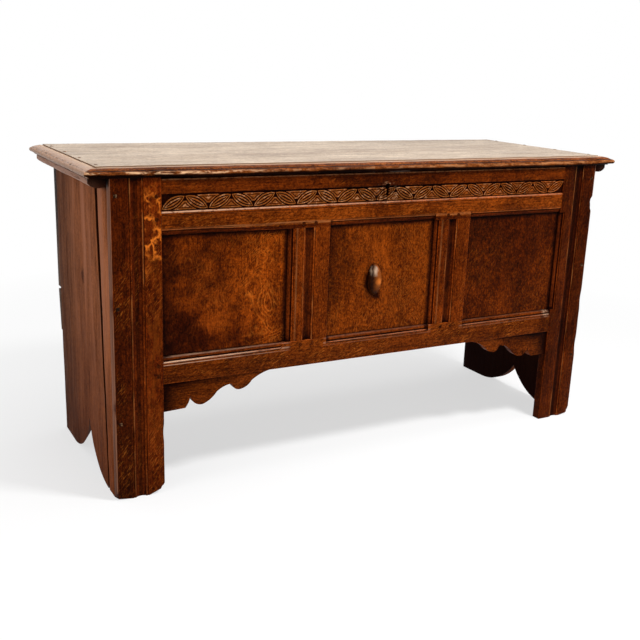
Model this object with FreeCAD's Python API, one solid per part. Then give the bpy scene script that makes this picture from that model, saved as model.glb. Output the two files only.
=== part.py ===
import FreeCAD, Part
import math
import os

os.makedirs("parts", exist_ok=True)
Vector = FreeCAD.Vector

# A joined-front oak coffer. The front is a pegged frame of stiles, rails and muntins round three panels.
# The ends are upright boards that run to the floor, cut to a pointed arch, so they are also the feet.
# Millimetres, +X to the right, +Y to the back, +Z up, on the floor in the middle of the footprint.

# Overall sizes
chest_width = 1270.0  # across the outer faces of the end boards
chest_depth = 470.0  # front face of the frame to rear face of the back boards
body_height = 684.0  # floor to the tops of the stiles and end boards
frame_thickness = 24.0
end_thickness = 21.0
back_thickness = 23.0
iron_thickness = 3.0  # straps and lid plate
iron_gap = 3.5  # the top rail and the back stop this far under the lid
fit = 0.2  # round tenons, pegs and nail shanks
panel_fit = 0.3  # round panel edges in their grooves
overrun = 6.0  # how far a cut runs past the wood

# Front frame
stile_width = 104.5
muntin_width = 102.0
muntin_offset = 193.0  # from the middle of the front
top_rail_height = 115.0
bottom_rail_base = 249.0
bottom_rail_height = 60.0
tenon_length = 58.0
tenon_shoulder = 14.0  # left off a tenon above and below
muntin_tenon_length = 34.0
muntin_tenon_shoulder = 18.0
peg_radius = 4.0
peg_proud = 0.8
peg_in_stile = 10.5  # from the shoulder
rail_peg_share = 0.3  # from each edge of a rail
muntin_peg_pitch = 30.0
muntin_peg_depth = 9.5

# Panels in their grooves
panel_lip = 9.5  # wood in front of the groove
groove_width = 6.5
groove_depth = 9.0
panel_thickness = 10.5
panel_bevel = 34.0  # feathered on the hidden face

# Moulding run along the panel edges of the frame, with run-outs where the plane was lifted
edge_width = 15.0
edge_bead = 4.0
edge_bead_sunk = 0.9
edge_quirk = 2.6
edge_ovolo_sunk = 3.4
edge_bulge_share = 0.3
edge_facets = 4  # flats that each round of the moulding is planed in
run_out = 14.0
long_run_out = 180.0
run_out_share = 0.12  # size of the moulding at the very end
full_share = 1.0

# Channel of a hollow between two beads, run up the stiles and muntins
channel_width = 31.0
channel_bead = 5.5
channel_bead_sunk = 0.6
channel_quirk = 3.0
channel_hollow = 5.6

# Sunk band for the carving on the top rail, with a bead under it
frieze_from_top = 29.5
frieze_height = 35.0
frieze_depth = 4.0
frieze_bead = 9.0
frieze_quirk = 2.6

# Keyhole and lock
keyhole_offset = 3.5
keyhole_from_top = 30.5
keyhole_radius = 6.5
keyhole_slot_width = 6.0
keyhole_slot_length = 21.0
lock_plate_width = 122.0
lock_plate_height = 70.0
lock_plate_thickness = 2.5
lock_plate_shift = 15.0  # plate middle, right of the keyhole
lock_plate_drop = 5.0  # below the top of the rail
lock_case_margin = 9.0  # plate showing round the case
lock_case_depth = 24.0
lock_case_wall = 2.0
bolt_length = 56.0
bolt_height = 8.0
bolt_thickness = 6.0
bolt_standoff = 6.0  # from the lock plate
bolt_above_key = 12.0
bolt_tail = 34.0  # left of the keyhole
bolt_talon_width = 9.0
bolt_talon_depth = 3.0
guide_length = 8.0
guide_wall = 2.5
guide_spread = 16.0  # each side of the keyhole
drill_pin_radius = 2.0
staple_offset = 36.0  # from the middle of the chest
staple_thickness = 6.0
staple_width = 14.0
staple_gap = 2.0  # behind the lock plate
staple_lip = 4.0  # under the eye
staple_eye_margin = 1.0  # round the bolt
lid_plate_width = 54.0
lid_plate_behind_frame = 32.0
lid_plate_setback = 3.0

# Turned and halved boss on the middle panel
boss_width = 48.0
boss_height = 84.0
boss_proud = 21.0
boss_turned_steps = 6  # cones that the boss is turned in, end to end
boss_offset = -16.0
boss_raise = -5.0  # from the middle height of the panel

# Fretted brackets under the bottom rail
bracket_length = 255.0
bracket_drop = 64.0
bracket_thickness = 18.0
bracket_setback = 4.0
bracket_start_shares = (0.0, 0.0)
bracket_run_shares = [
    [(0.0, 1.0)],
    [(0.192, 0.97)],
    [(0.224, 0.78), (0.239, 0.547)],
    [(0.275, 0.83), (0.353, 0.917)],
    [(0.42, 0.78), (0.478, 0.547)],
    [(0.541, 0.398), (0.616, 0.328)],
    [(0.639, 0.50), (0.706, 0.57)],
    [(0.761, 0.484), (0.804, 0.313)],
    [(0.878, 0.141), (1.0, 0.0)],
]

# End boards: a narrow board behind the stile and a wide one, with a shrinkage gap between them
joint_at_top = 98.0  # from the front of the chest
joint_at_foot = 64.0
joint_gap_at_top = 11.0
joint_gap_at_foot = 4.0
arch_from_front = 214.0
arch_reach = 145.0
arch_heights = {"left": 113.0, "right": 80.0}

# Back boards
back_base = 257.0
back_joint = 362.0  # height of the open joint
back_joint_gap = 8.0
lower_back_foot_thickness = 12.0

# Floor boards, housed in the ends
floor_base = 266.0
floor_thickness = 18.0
housing_depth = 7.0
floor_joint_gap = 1.0
floor_board_shares = {"front": 0.36, "middle": 0.31, "rear": 0.33}

# Lid
lid_thickness = 22.0
lid_front_overhang = 12.0
lid_end_overhang = 52.0
lid_rear_overhang = 8.0
lid_rear_board = 118.0
nose_height = 10.5
nose_undercut = 7.0
nose_back = 4.5
lid_quirk_back = 8.0
lid_quirk_height = 11.5
lid_ovolo_width = 31.0
lid_ovolo_height = 19.4
lid_bulge_share = 0.27
cleat_width = 36.0
cleat_height = 18.0
cleat_gap = 4.0  # from the end boards
cleat_flat = 9.0
cleat_fillet = 3.0
cleat_setback = 9.0  # from the front of the chest
cleat_rear_gap = 20.0

# Strap hinges
hinge_inset = 190.0  # from the outer face of the end boards
knuckle_radius = 6.0
knuckle_gap = 0.4
hinge_pin_radius = 3.0
hinge_pin_fit = 0.15
hinge_pin_head_radius = 4.6
hinge_pin_head = 1.6
strap_root = 42.0
strap_neck = 17.0
strap_tip = 24.0
lid_strap_length = 230.0
back_strap_length = 165.0
strap_nail_shares = (0.28, 0.55, 0.82)

# Wrought nails
nail_shank = 3.4
nail_head = 7.5
nail_head_top = 3.2
nail_head_height = 1.4
stile_nail_length = 55.0
back_nail_length = 50.0
cleat_nail_length = 36.0
iron_nail_length = 19.0
stile_nail_shares = (0.253, 0.617, 0.95)  # of the body height
upper_back_nail_shares = (0.12, 0.5, 0.88)
lower_back_nail_shares = (0.25, 0.75)
cleat_nail_shares = (0.08, 0.36, 0.64, 0.92)
lock_nail_inset = 3.6
lid_plate_nail_spread = 20.0
lid_plate_nail_inset = 7.0

# Planes and lines that several pieces share
half_width = chest_width / 2
overall_depth = lid_front_overhang + chest_depth + 2 * knuckle_radius + knuckle_gap
front = lid_front_overhang - overall_depth / 2
inside_front = front + frame_thickness
back = front + chest_depth
inside_back = back - back_thickness
stile_edge = half_width - stile_width
rail_top = body_height - iron_gap
opening_top = rail_top - top_rail_height
opening_base = bottom_rail_base + bottom_rail_height
panel_face = front + panel_lip + panel_fit
groove_front = front + panel_lip
groove_back = groove_front + groove_width
key_height = rail_top - keyhole_from_top
lid_base = body_height
lid_top = lid_base + lid_thickness
lid_half = half_width + lid_end_overhang
lid_front = front - lid_front_overhang
lid_rear = back + lid_rear_overhang
hinge_y = back + knuckle_gap + knuckle_radius
hinge_z = lid_base - knuckle_gap - knuckle_radius
plate_back = inside_front + lock_plate_thickness
lock_middle = keyhole_offset + lock_plate_shift
lock_top = rail_top - lock_plate_drop
bolt_front = plate_back + bolt_standoff
bolt_base = key_height + bolt_above_key - bolt_height / 2
sides = {"left": -1, "right": 1}
rightward = Vector(1, 0, 0)
rearward = Vector(0, 1, 0)
frontward = Vector(0, -1, 0)
upward = Vector(0, 0, 1)
downward = Vector(0, 0, -1)


def block(x_low, x_high, y_low, y_high, z_low, z_high):
    corner = Vector(x_low, y_low, z_low)
    return Part.makeBox(x_high - x_low, y_high - y_low, z_high - z_low, corner)


def rod(start, direction, radius, length):
    return Part.makeCylinder(radius, length, start, direction)


def outline(place, start, runs):
    """Closed wire from start; a run of one point is straight, a run of two is an arc through the first."""
    edges = []
    here = start
    for run in list(runs) + [[start]]:
        points = [place(*here)] + [place(*point) for point in run]
        if len(run) == 2:
            edges.append(Part.Arc(*points).toShape())
        elif here != run[0]:
            edges.append(Part.LineSegment(*points).toShape())
        here = run[-1]
    return Part.Wire(edges)


def board(place, start, runs, along):
    return Part.Face(outline(place, start, runs)).extrude(along)


def tangent_arc_middle(run, rise):
    """Halfway point of an arc that leaves a line along it and then climbs to rise over run."""
    radius = (run**2 + rise**2) / (2 * rise)
    half_turn = math.atan2(run, radius - rise) / 2
    return radius * math.sin(half_turn), radius * (1 - math.cos(half_turn))


def save(name, pieces):
    solids = [solid for piece in pieces for solid in piece.Solids]
    whole = solids[0] if len(solids) == 1 else Part.makeCompound(solids)
    whole.exportStep("parts/" + name + ".step")


def nail(point, drive, length):
    """Square shank under a four-sided rose head that seats at point; drive is the way it is driven."""
    half = nail_head / 2
    top = nail_head_top / 2
    head = Part.makeWedge(-half, 0, -half, -top, -top, half, nail_head_height, half, top, top)
    head.rotate(Vector(0, 0, 0), rightward, 90)
    half = nail_shank / 2
    shank = block(-half, half, -half, half, -length, 0)
    piece = head.fuse(shank)
    piece.Placement = FreeCAD.Placement(point, FreeCAD.Rotation(downward, drive))
    return piece


def nail_hole(point, drive, length):
    half = nail_shank / 2 + fit
    hole = block(-half, half, -half, half, -length - fit, 0)
    hole.Placement = FreeCAD.Placement(point, FreeCAD.Rotation(downward, drive))
    return hole


def nails(points, drive, length):
    return [nail(point, drive, length) for point in points]


def nail_holes(points, drive, length):
    return [nail_hole(point, drive, length) for point in points]


# Mouldings


def round_points(start, through, end):
    """Points along the arc from start through a point to end, for a round planed in flats."""
    arc = Part.Arc(*[Vector(across, depth, 0) for across, depth in (start, through, end)]).toShape()
    return [(point.x, point.y) for point in arc.discretize(edge_facets + 1)]


def edge_section():
    """Insets and depths of the edge moulding: a quirk, a bead and an ovolo down to the groove lip."""
    bead_edge = edge_width - edge_bead
    bead_middle = edge_width - edge_bead / 2
    bulge_sunk = edge_ovolo_sunk + (panel_lip - edge_ovolo_sunk) * edge_bulge_share
    bead = round_points((edge_width, edge_quirk), (bead_middle, edge_bead_sunk), (bead_edge, edge_quirk))
    bulge = (bead_edge * edge_bulge_share, bulge_sunk)
    ovolo = round_points((bead_edge, edge_ovolo_sunk), bulge, (0, panel_lip))
    return bead + ovolo


def edge_wire(place, station, size):
    """The section at a station along the edge, closed in front of the wood and past its edge."""
    section = [(inset * size, depth * size) for inset, depth in edge_section()]
    corners = [(-overrun, section[-1][1]), (-overrun, -overrun), (section[0][0], -overrun)]
    points = [place(inset, depth, station) for inset, depth in section + corners]
    return Part.makePolygon(points + points[:1])


def edge_moulding(place, stations):
    """Cutters between neighbouring stations, each a place along the edge and the moulding's size there."""
    wires = [edge_wire(place, station, size) for station, size in stations]
    return [Part.makeLoft(list(pair), True, True) for pair in zip(wires, wires[1:])]


def upright_edge(edge, into):
    """Place for a moulding on an upright; into is the side of the edge that the wood lies on."""
    return lambda inset, depth, z: Vector(edge + into * inset, front + depth, z)


def rail_edge(edge, into):
    return lambda inset, depth, x: Vector(x, front + depth, edge + into * inset)


def full_upright(edge, into):
    return edge_moulding(upright_edge(edge, into), [(opening_base, full_share), (opening_top, full_share)])


def rail_mouldings(edge, into, left_run_out):
    """One length over each panel, stopped square at the uprights; the left one runs out at its muntin."""
    place = rail_edge(edge, into)
    outer = muntin_offset + muntin_width / 2
    inner = muntin_offset - muntin_width / 2
    left = [(-stile_edge, full_share), (-outer - left_run_out, full_share), (-outer, run_out_share)]
    middle = [(-inner, full_share), (inner, full_share)]
    right = [(outer, full_share), (stile_edge, full_share)]
    return [cutter for stations in (left, middle, right) for cutter in edge_moulding(place, stations)]


def channel(middle, z_low, z_high):
    half = channel_width / 2
    hollow = half - channel_bead
    bead = half - channel_bead / 2
    runs = [
        [(half, -overrun)],
        [(half, channel_quirk)],
        [(bead, channel_bead_sunk), (hollow, channel_quirk)],
        [(0, channel_hollow), (-hollow, channel_quirk)],
        [(-bead, channel_bead_sunk), (-half, channel_quirk)],
    ]

    def place(across, depth):
        return Vector(middle + across, front + depth, z_low)

    return board(place, (-half, -overrun), runs, Vector(0, 0, z_high - z_low))


# Pegs and nails of the carcase


def peg_places():
    """Two pegs through each tenon of the front frame."""
    places = []
    for side in sides.values():
        stile_x = side * (stile_edge + peg_in_stile)
        for base, height in ((opening_top, top_rail_height), (bottom_rail_base, bottom_rail_height)):
            for share in (rail_peg_share, 1 - rail_peg_share):
                places.append((stile_x, base + height * share))
        for height in (opening_top + muntin_peg_depth, opening_base - muntin_peg_depth):
            for step in (-1, 1):
                places.append((side * muntin_offset + step * muntin_peg_pitch / 2, height))
    return places


def shaved(start, direction, radius, length):
    """Eight-sided bar, its corners on the radius."""
    turns = [2 * math.pi * step / 8 for step in range(8)]
    points = [Vector(radius * math.cos(turn), radius * math.sin(turn), 0) for turn in turns]
    bar = Part.Face(Part.makePolygon(points + points[:1])).extrude(Vector(0, 0, length))
    bar.Placement = FreeCAD.Placement(start, FreeCAD.Rotation(upward, direction))
    return bar


def peg_holes():
    """Holes that have taken the shape of the pegs driven into them."""
    length = frame_thickness + 2 * overrun
    start = front - overrun
    return [shaved(Vector(x, start, z), rearward, peg_radius + fit, length) for x, z in peg_places()]


def frame_pegs():
    length = frame_thickness + peg_proud
    start = front - peg_proud
    return [shaved(Vector(x, start, z), rearward, peg_radius, length) for x, z in peg_places()]


def stile_nailing():
    """Through the stiles into the end boards."""
    across = half_width - end_thickness / 2
    heights = [body_height * share for share in stile_nail_shares]
    points = [Vector(side * across, front, height) for side in sides.values() for height in heights]
    return points, rearward, stile_nail_length


def upper_back_nailing():
    across = half_width - end_thickness / 2
    base = back_joint + back_joint_gap / 2
    heights = [base + (rail_top - base) * share for share in upper_back_nail_shares]
    points = [Vector(side * across, back, height) for side in sides.values() for height in heights]
    return points, frontward, back_nail_length


def lower_back_nailing():
    """The lower board thins towards its foot, so each nail is driven square to the sloping face."""
    across = half_width - end_thickness / 2
    rise = back_joint - back_joint_gap / 2 - back_base
    taper = back_thickness - lower_back_foot_thickness
    points = []
    for side in sides.values():
        for share in lower_back_nail_shares:
            face = inside_back + lower_back_foot_thickness + taper * share
            points.append(Vector(side * across, face, back_base + rise * share))
    return points, Vector(0, -rise, taper), back_nail_length


# Front frame


def stile(side):
    x_low, x_high = sorted((side * stile_edge, side * half_width))
    body = block(x_low, x_high, front, inside_front, 0, body_height)
    middle = side * (stile_edge + stile_width / 2)
    cuts = [channel(middle, -overrun, body_height + overrun)]
    if side > 0:
        cuts += full_upright(stile_edge, side)
    groove_low, groove_high = sorted((side * (stile_edge - overrun), side * (stile_edge + groove_depth)))
    groove_base = opening_base - groove_depth
    groove_top = opening_top + groove_depth
    cuts.append(block(groove_low, groove_high, groove_front, groove_back, groove_base, groove_top))
    mortise_end = stile_edge + tenon_length + fit
    mortise_low, mortise_high = sorted((side * (stile_edge - overrun), side * mortise_end))
    for base, height in ((opening_top, top_rail_height), (bottom_rail_base, bottom_rail_height)):
        z_low = base + tenon_shoulder - fit
        z_high = base + height - tenon_shoulder + fit
        cuts.append(block(mortise_low, mortise_high, groove_front, groove_back, z_low, z_high))
    return body.cut(cuts + peg_holes() + nail_holes(*stile_nailing()))


def rail_blank(base, height):
    """Rail between the stiles with a tenon at each end."""
    body = block(-stile_edge, stile_edge, front, inside_front, base, base + height)
    reach = stile_edge + tenon_length
    z_low = base + tenon_shoulder
    z_high = base + height - tenon_shoulder
    return body.fuse(block(-reach, reach, groove_front + fit, groove_back - fit, z_low, z_high))


def rail_groove(edge, into):
    z_low, z_high = sorted((edge - into * overrun, edge + into * groove_depth))
    return block(-stile_edge, stile_edge, groove_front, groove_back, z_low, z_high)


def muntin_mortises(edge, into):
    half = muntin_width / 2 - muntin_tenon_shoulder + fit
    z_low, z_high = sorted((edge - into * overrun, edge + into * (muntin_tenon_length + fit)))
    middles = [side * muntin_offset for side in sides.values()]
    return [block(x - half, x + half, groove_front, groove_back, z_low, z_high) for x in middles]


def frieze_cut():
    """Sunk band along the top rail, stopped below by a half-round bead."""
    top = rail_top - frieze_from_top
    base = top - frieze_height
    runs = [
        [(-overrun, top)],
        [(frieze_depth, top)],
        [(frieze_depth, base)],
        [(0, base - frieze_bead / 2), (frieze_quirk, base - frieze_bead)],
        [(-overrun, base - frieze_bead)],
    ]

    def place(depth, z):
        return Vector(-stile_edge, front + depth, z)

    return board(place, (-overrun, base), runs, Vector(2 * stile_edge, 0, 0))


def keyhole(y_low, y_high):
    eye = rod(Vector(keyhole_offset, y_low, key_height), rearward, keyhole_radius, y_high - y_low)
    half = keyhole_slot_width / 2
    x_span = (keyhole_offset - half, keyhole_offset + half)
    return eye.fuse(block(*x_span, y_low, y_high, key_height - keyhole_slot_length, key_height))


def top_rail():
    cuts = rail_mouldings(opening_top, 1, long_run_out) + muntin_mortises(opening_top, 1)
    cuts += [rail_groove(opening_top, 1), frieze_cut(), keyhole(front - overrun, inside_front + overrun)]
    cuts += peg_holes() + nail_holes(*lock_nailing())
    return rail_blank(opening_top, top_rail_height).cut(cuts)


def bottom_rail():
    cuts = rail_mouldings(opening_base, -1, run_out) + muntin_mortises(opening_base, -1)
    cuts.append(rail_groove(opening_base, -1))
    return rail_blank(bottom_rail_base, bottom_rail_height).cut(cuts + peg_holes())


def muntin(side):
    middle = side * muntin_offset
    x_low = middle - muntin_width / 2
    x_high = middle + muntin_width / 2
    body = block(x_low, x_high, front, inside_front, opening_base, opening_top)
    half = muntin_width / 2 - muntin_tenon_shoulder
    tenon_y = (groove_front + fit, groove_back - fit)
    tenon_z = (opening_base - muntin_tenon_length, opening_top + muntin_tenon_length)
    tenon = block(middle - half, middle + half, *tenon_y, *tenon_z)
    cuts = [channel(middle, opening_base - overrun, opening_top + overrun)]
    cuts += full_upright(x_low, 1)
    for edge, into in ((x_low, 1), (x_high, -1)):
        low, high = sorted((edge - into * overrun, edge + into * groove_depth))
        cuts.append(block(low, high, groove_front, groove_back, opening_base, opening_top))
    return body.fuse(tenon).cut(cuts + peg_holes())


def panel(x_low, x_high):
    """Board with a flat face and a feathered back, standing in the grooves round the opening."""
    reach = groove_depth - panel_fit
    tongue = panel_face + groove_width - 2 * panel_fit
    rear = panel_face + panel_thickness

    def feathered(low, high, place, along):
        runs = [
            [(high, panel_face)],
            [(high, tongue)],
            [(high - groove_depth, tongue)],
            [(high - panel_bevel, rear)],
            [(low + panel_bevel, rear)],
            [(low + groove_depth, tongue)],
            [(low, tongue)],
        ]
        return board(place, (low, panel_face), runs, along)

    x_span = (x_low - reach, x_high + reach)
    z_span = (opening_base - reach, opening_top + reach)
    across = feathered(*x_span, lambda x, y: Vector(x, y, z_span[0]), Vector(0, 0, z_span[1] - z_span[0]))
    upright = feathered(*z_span, lambda z, y: Vector(x_span[0], y, z), Vector(x_span[1] - x_span[0], 0, 0))
    return across.common(upright)


def oval_boss():
    """Half of an egg turned on an upright axis, which lies a little behind the panel face."""
    radius = boss_width / 2
    half = boss_height / 2
    oval = Part.Ellipse(Vector(0, 0, half), Vector(radius, 0, 0), Vector(0, 0, 0))
    profile = oval.toShape(0, oval.LastParameter / 2)
    points = profile.discretize(boss_turned_steps + 1)
    spindle = Part.Face(Part.makePolygon(points + points[:1])).revolve(Vector(0, 0, 0), upward, 360)
    behind = radius - boss_proud
    spindle = spindle.cut(block(-boss_width, boss_width, -behind, boss_width, -boss_height, boss_height))
    axis_y = panel_face + behind
    spindle.translate(Vector(boss_offset, axis_y, (opening_base + opening_top) / 2 + boss_raise))
    return spindle


def bracket(side):
    def place(along_share, drop_share):
        x = side * (stile_edge - bracket_length * along_share)
        return Vector(x, front + bracket_setback, bottom_rail_base - bracket_drop * drop_share)

    return board(place, bracket_start_shares, bracket_run_shares, Vector(0, bracket_thickness, 0))


# Ends, back and floor


def end_place(side):
    return lambda y, z: Vector(side * (half_width - end_thickness), front + y, z)


def floor_housing(side):
    inner_face = half_width - end_thickness
    low, high = sorted((side * (inner_face - overrun), side * (inner_face + housing_depth)))
    return block(low, high, inside_front, inside_back + overrun, floor_base, floor_base + floor_thickness)


def end_nail_holes():
    back_holes = nail_holes(*upper_back_nailing()) + nail_holes(*lower_back_nailing())
    return nail_holes(*stile_nailing()) + back_holes


def narrow_end_board(side):
    foot = joint_at_foot - joint_gap_at_foot / 2
    top = joint_at_top - joint_gap_at_top / 2
    runs = [[(foot, 0)], [(top, body_height)], [(frame_thickness, body_height)]]
    blank = board(end_place(side), (frame_thickness, 0), runs, Vector(side * end_thickness, 0, 0))
    return blank.cut([floor_housing(side)] + end_nail_holes())


def arch_side(height, way):
    """Halfway point of one side of the arch, which leaves the floor gently and rises to the point."""
    along, up = tangent_arc_middle(arch_reach, height)
    return arch_from_front + way * (arch_reach - along), up


def wide_end_board(name):
    side = sides[name]
    height = arch_heights[name]
    foot = joint_at_foot + joint_gap_at_foot / 2
    top = joint_at_top + joint_gap_at_top / 2
    rear = chest_depth - back_thickness
    runs = [
        [(arch_from_front - arch_reach, 0)],
        [arch_side(height, -1), (arch_from_front, height)],
        [arch_side(height, 1), (arch_from_front + arch_reach, 0)],
        [(rear, 0)],
        [(rear, body_height)],
        [(top, body_height)],
    ]
    blank = board(end_place(side), (foot, 0), runs, Vector(side * end_thickness, 0, 0))
    return blank.cut([floor_housing(side)] + end_nail_holes())


def upper_back_board():
    base = back_joint + back_joint_gap / 2
    blank = block(-half_width, half_width, inside_back, back, base, rail_top)
    return blank.cut(nail_holes(*upper_back_nailing()) + nail_holes(*back_strap_nailing()))


def lower_back_board():
    """Riven board, thinner towards its lower edge."""
    top = back_joint - back_joint_gap / 2
    runs = [[(inside_back + lower_back_foot_thickness, back_base)], [(back, top)], [(inside_back, top)]]

    def place(y, z):
        return Vector(-half_width, y, z)

    blank = board(place, (inside_back, back_base), runs, Vector(chest_width, 0, 0))
    return blank.cut(nail_holes(*lower_back_nailing()))


def floor_boards():
    """Boards along the chest, their ends in the housings of the end boards."""
    reach = half_width - end_thickness + housing_depth - fit
    room = inside_back - inside_front - floor_joint_gap * (len(floor_board_shares) - 1)
    boards = {}
    start = inside_front
    for name, share in floor_board_shares.items():
        end = start + room * share
        boards[name] = block(-reach, reach, start, end, floor_base, floor_base + floor_thickness)
        start = end + floor_joint_gap
    return boards


# Lid


def moulded_side(place, reach, along):
    """Lid blank with the thumb moulding on one side, from the underside round the nose to the top."""
    bulge_back = lid_quirk_back + (lid_ovolo_width - lid_quirk_back) * lid_bulge_share
    bulge_height = lid_ovolo_height - (lid_ovolo_height - lid_quirk_height) * lid_bulge_share
    runs = [
        [(nose_undercut, 0)],
        [(0, nose_height / 2), (nose_back, nose_height)],
        [(lid_quirk_back, lid_quirk_height)],
        [(bulge_back, bulge_height), (lid_ovolo_width, lid_ovolo_height)],
        [(lid_ovolo_width, lid_thickness)],
        [(reach, lid_thickness)],
    ]
    return board(place, (reach, 0), runs, along)


def lid_blank():
    """Front and both ends moulded and mitred at the corners; the rear edge is plain."""
    length = 2 * lid_half
    depth = lid_rear - lid_front

    def front_place(inset, height):
        return Vector(-lid_half, lid_front + inset, lid_base + height)

    def end_place_on(side):
        return lambda inset, height: Vector(side * (lid_half - inset), lid_front, lid_base + height)

    blank = moulded_side(front_place, depth, Vector(length, 0, 0))
    for side in sides.values():
        blank = blank.common(moulded_side(end_place_on(side), length + overrun, Vector(0, depth, 0)))
    return blank


def lid_boards():
    blank = lid_blank()
    joint = lid_rear - lid_rear_board
    heights = (lid_base - overrun, lid_top + overrun)
    reach = lid_half + overrun
    iron_holes = nail_holes(*lid_strap_nailing()) + nail_holes(*lid_plate_nailing())
    drilled = blank.cut(nail_holes(*cleat_nailing()) + iron_holes)
    front_board = drilled.common(block(-reach, reach, lid_front - overrun, joint, *heights))
    rear_board = drilled.common(block(-reach, reach, joint, lid_rear + overrun, *heights))
    return front_board, rear_board


def cleat_span():
    return front + cleat_setback, lid_rear - cleat_rear_gap


def lid_cleat(side):
    """Batten under the end of the lid, rounded on its outer lower edge."""
    inner = half_width + cleat_gap
    y_low, y_high = cleat_span()
    along, up = tangent_arc_middle(cleat_width - cleat_flat, cleat_height - cleat_fillet)
    through = (inner + cleat_flat + along, cleat_height - up)
    runs = [
        [(inner, cleat_height)],
        [(inner + cleat_flat, cleat_height)],
        [through, (inner + cleat_width, cleat_fillet)],
        [(inner + cleat_width, 0)],
    ]

    def place(x, drop):
        return Vector(side * x, y_low, lid_base - drop)

    blank = board(place, (inner, 0), runs, Vector(0, y_high - y_low, 0))
    return blank.cut(nail_holes(*cleat_nailing()))


def cleat_nailing():
    """Down through the lid into the cleats."""
    across = half_width + cleat_gap + cleat_flat
    y_low, y_high = cleat_span()
    places = [y_low + (y_high - y_low) * share for share in cleat_nail_shares]
    points = [Vector(side * across, y, lid_top) for side in sides.values() for y in places]
    return points, downward, cleat_nail_length


# Strap hinges


def strap_leaf(place, length, along):
    """Tapered strap with a rounded tip; it starts clear of the knuckles."""
    start = knuckle_radius + 2 * knuckle_gap
    root = strap_root / 2
    tip = strap_tip / 2
    runs = [
        [(root, start)],
        [(tip, length - tip)],
        [(0, length), (-tip, length - tip)],
    ]
    return board(place, (-root, start), runs, along)


def hinge_middle(side):
    return side * (half_width - hinge_inset)


def knuckle(x_low, x_high):
    return rod(Vector(x_low, hinge_y, hinge_z), rightward, knuckle_radius, x_high - x_low)


def hinge_bore(middle):
    length = strap_root + 2 * overrun
    start = Vector(middle - length / 2, hinge_y, hinge_z)
    return rod(start, rightward, hinge_pin_radius + hinge_pin_fit, length)


def lid_strap(side):
    """Strap under the lid, its neck curled into the middle knuckle."""
    middle = hinge_middle(side)
    half = strap_neck / 2
    under = lid_base - iron_thickness
    reach = knuckle_radius + 2 * knuckle_gap

    def place(x, away):
        return Vector(middle + x, hinge_y - away, under)

    leaf = strap_leaf(place, lid_strap_length, Vector(0, 0, iron_thickness))
    neck = block(middle - half, middle + half, hinge_y - reach - strap_neck, hinge_y, under, lid_base)
    strap = leaf.fuse([neck, knuckle(middle - half, middle + half)])
    return strap.cut([hinge_bore(middle)] + nail_holes(*lid_strap_nailing()))


def back_strap(side):
    """Strap down the back, two arms curled into the outer knuckles."""
    middle = hinge_middle(side)
    reach = knuckle_radius + 2 * knuckle_gap

    def place(x, away):
        return Vector(middle + x, back, hinge_z - away)

    leaf = strap_leaf(place, back_strap_length, Vector(0, iron_thickness, 0))
    pieces = []
    for way in (-1, 1):
        near = middle + way * (strap_neck / 2 + knuckle_gap)
        low, high = sorted((near, middle + way * strap_root / 2))
        pieces.append(block(low, high, back, back + iron_thickness, hinge_z - reach, hinge_z))
        pieces.append(knuckle(low, high))
    return leaf.fuse(pieces).cut([hinge_bore(middle)] + nail_holes(*back_strap_nailing()))


def hinge_pin(side):
    """Pin headed at both ends, through all three knuckles."""
    half = strap_root / 2 + knuckle_gap
    start = hinge_middle(side) - half
    shaft = rod(Vector(start, hinge_y, hinge_z), rightward, hinge_pin_radius, 2 * half)
    ends = (start - hinge_pin_head, start + 2 * half)
    places = [Vector(x, hinge_y, hinge_z) for x in ends]
    return shaft.fuse([shaved(place, rightward, hinge_pin_head_radius, hinge_pin_head) for place in places])


def lid_strap_nailing():
    under = lid_base - iron_thickness
    aways = [lid_strap_length * share for share in strap_nail_shares]
    middles = [hinge_middle(side) for side in sides.values()]
    return [Vector(x, hinge_y - away, under) for x in middles for away in aways], upward, iron_nail_length


def back_strap_nailing():
    face = back + iron_thickness
    aways = [back_strap_length * share for share in strap_nail_shares]
    middles = [hinge_middle(side) for side in sides.values()]
    return [Vector(x, face, hinge_z - away) for x in middles for away in aways], frontward, iron_nail_length


# Lock


def lock_span():
    return lock_middle - lock_plate_width / 2, lock_middle + lock_plate_width / 2


def lock_nailing():
    """One nail in each corner of the lock plate."""
    x_low, x_high = lock_span()
    z_low = lock_top - lock_plate_height
    heights = (z_low + lock_nail_inset, lock_top - lock_nail_inset)
    places = (x_low + lock_nail_inset, x_high - lock_nail_inset)
    return [Vector(x, plate_back, z) for x in places for z in heights], frontward, iron_nail_length


def lock_plate():
    x_low, x_high = lock_span()
    blank = block(x_low, x_high, inside_front, plate_back, lock_top - lock_plate_height, lock_top)
    return blank.cut([keyhole(inside_front - overrun, plate_back + overrun)] + nail_holes(*lock_nailing()))


def staple_span():
    half = staple_thickness / 2
    start = plate_back + staple_gap
    return staple_offset - half, staple_offset + half, start, start + staple_width


def lock_case():
    """Folded cover over the bolt, open to the plate, with a slot on top for the staple."""
    x_low, x_high = lock_span()
    x_low += lock_case_margin
    x_high -= lock_case_margin
    z_low = lock_top - lock_plate_height + lock_case_margin
    z_high = lock_top - lock_case_margin / 2
    rear = plate_back + lock_case_depth
    wall = lock_case_wall
    shell = block(x_low, x_high, plate_back, rear, z_low, z_high)
    open_front = plate_back - overrun
    room = block(x_low + wall, x_high - wall, open_front, rear - wall, z_low + wall, z_high - wall)
    slot_low, slot_high, slot_front, slot_rear = staple_span()
    gap = staple_eye_margin
    slot_z = (z_high - wall - overrun, z_high + overrun)
    slot = block(slot_low - gap, slot_high + gap, open_front, slot_rear + gap, *slot_z)
    return shell.cut([room, slot])


def drill_pin():
    """Pin that a piped key turns on."""
    length = lock_case_depth - lock_case_wall + lock_plate_thickness
    return rod(Vector(keyhole_offset, inside_front, key_height), rearward, drill_pin_radius, length)


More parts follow.
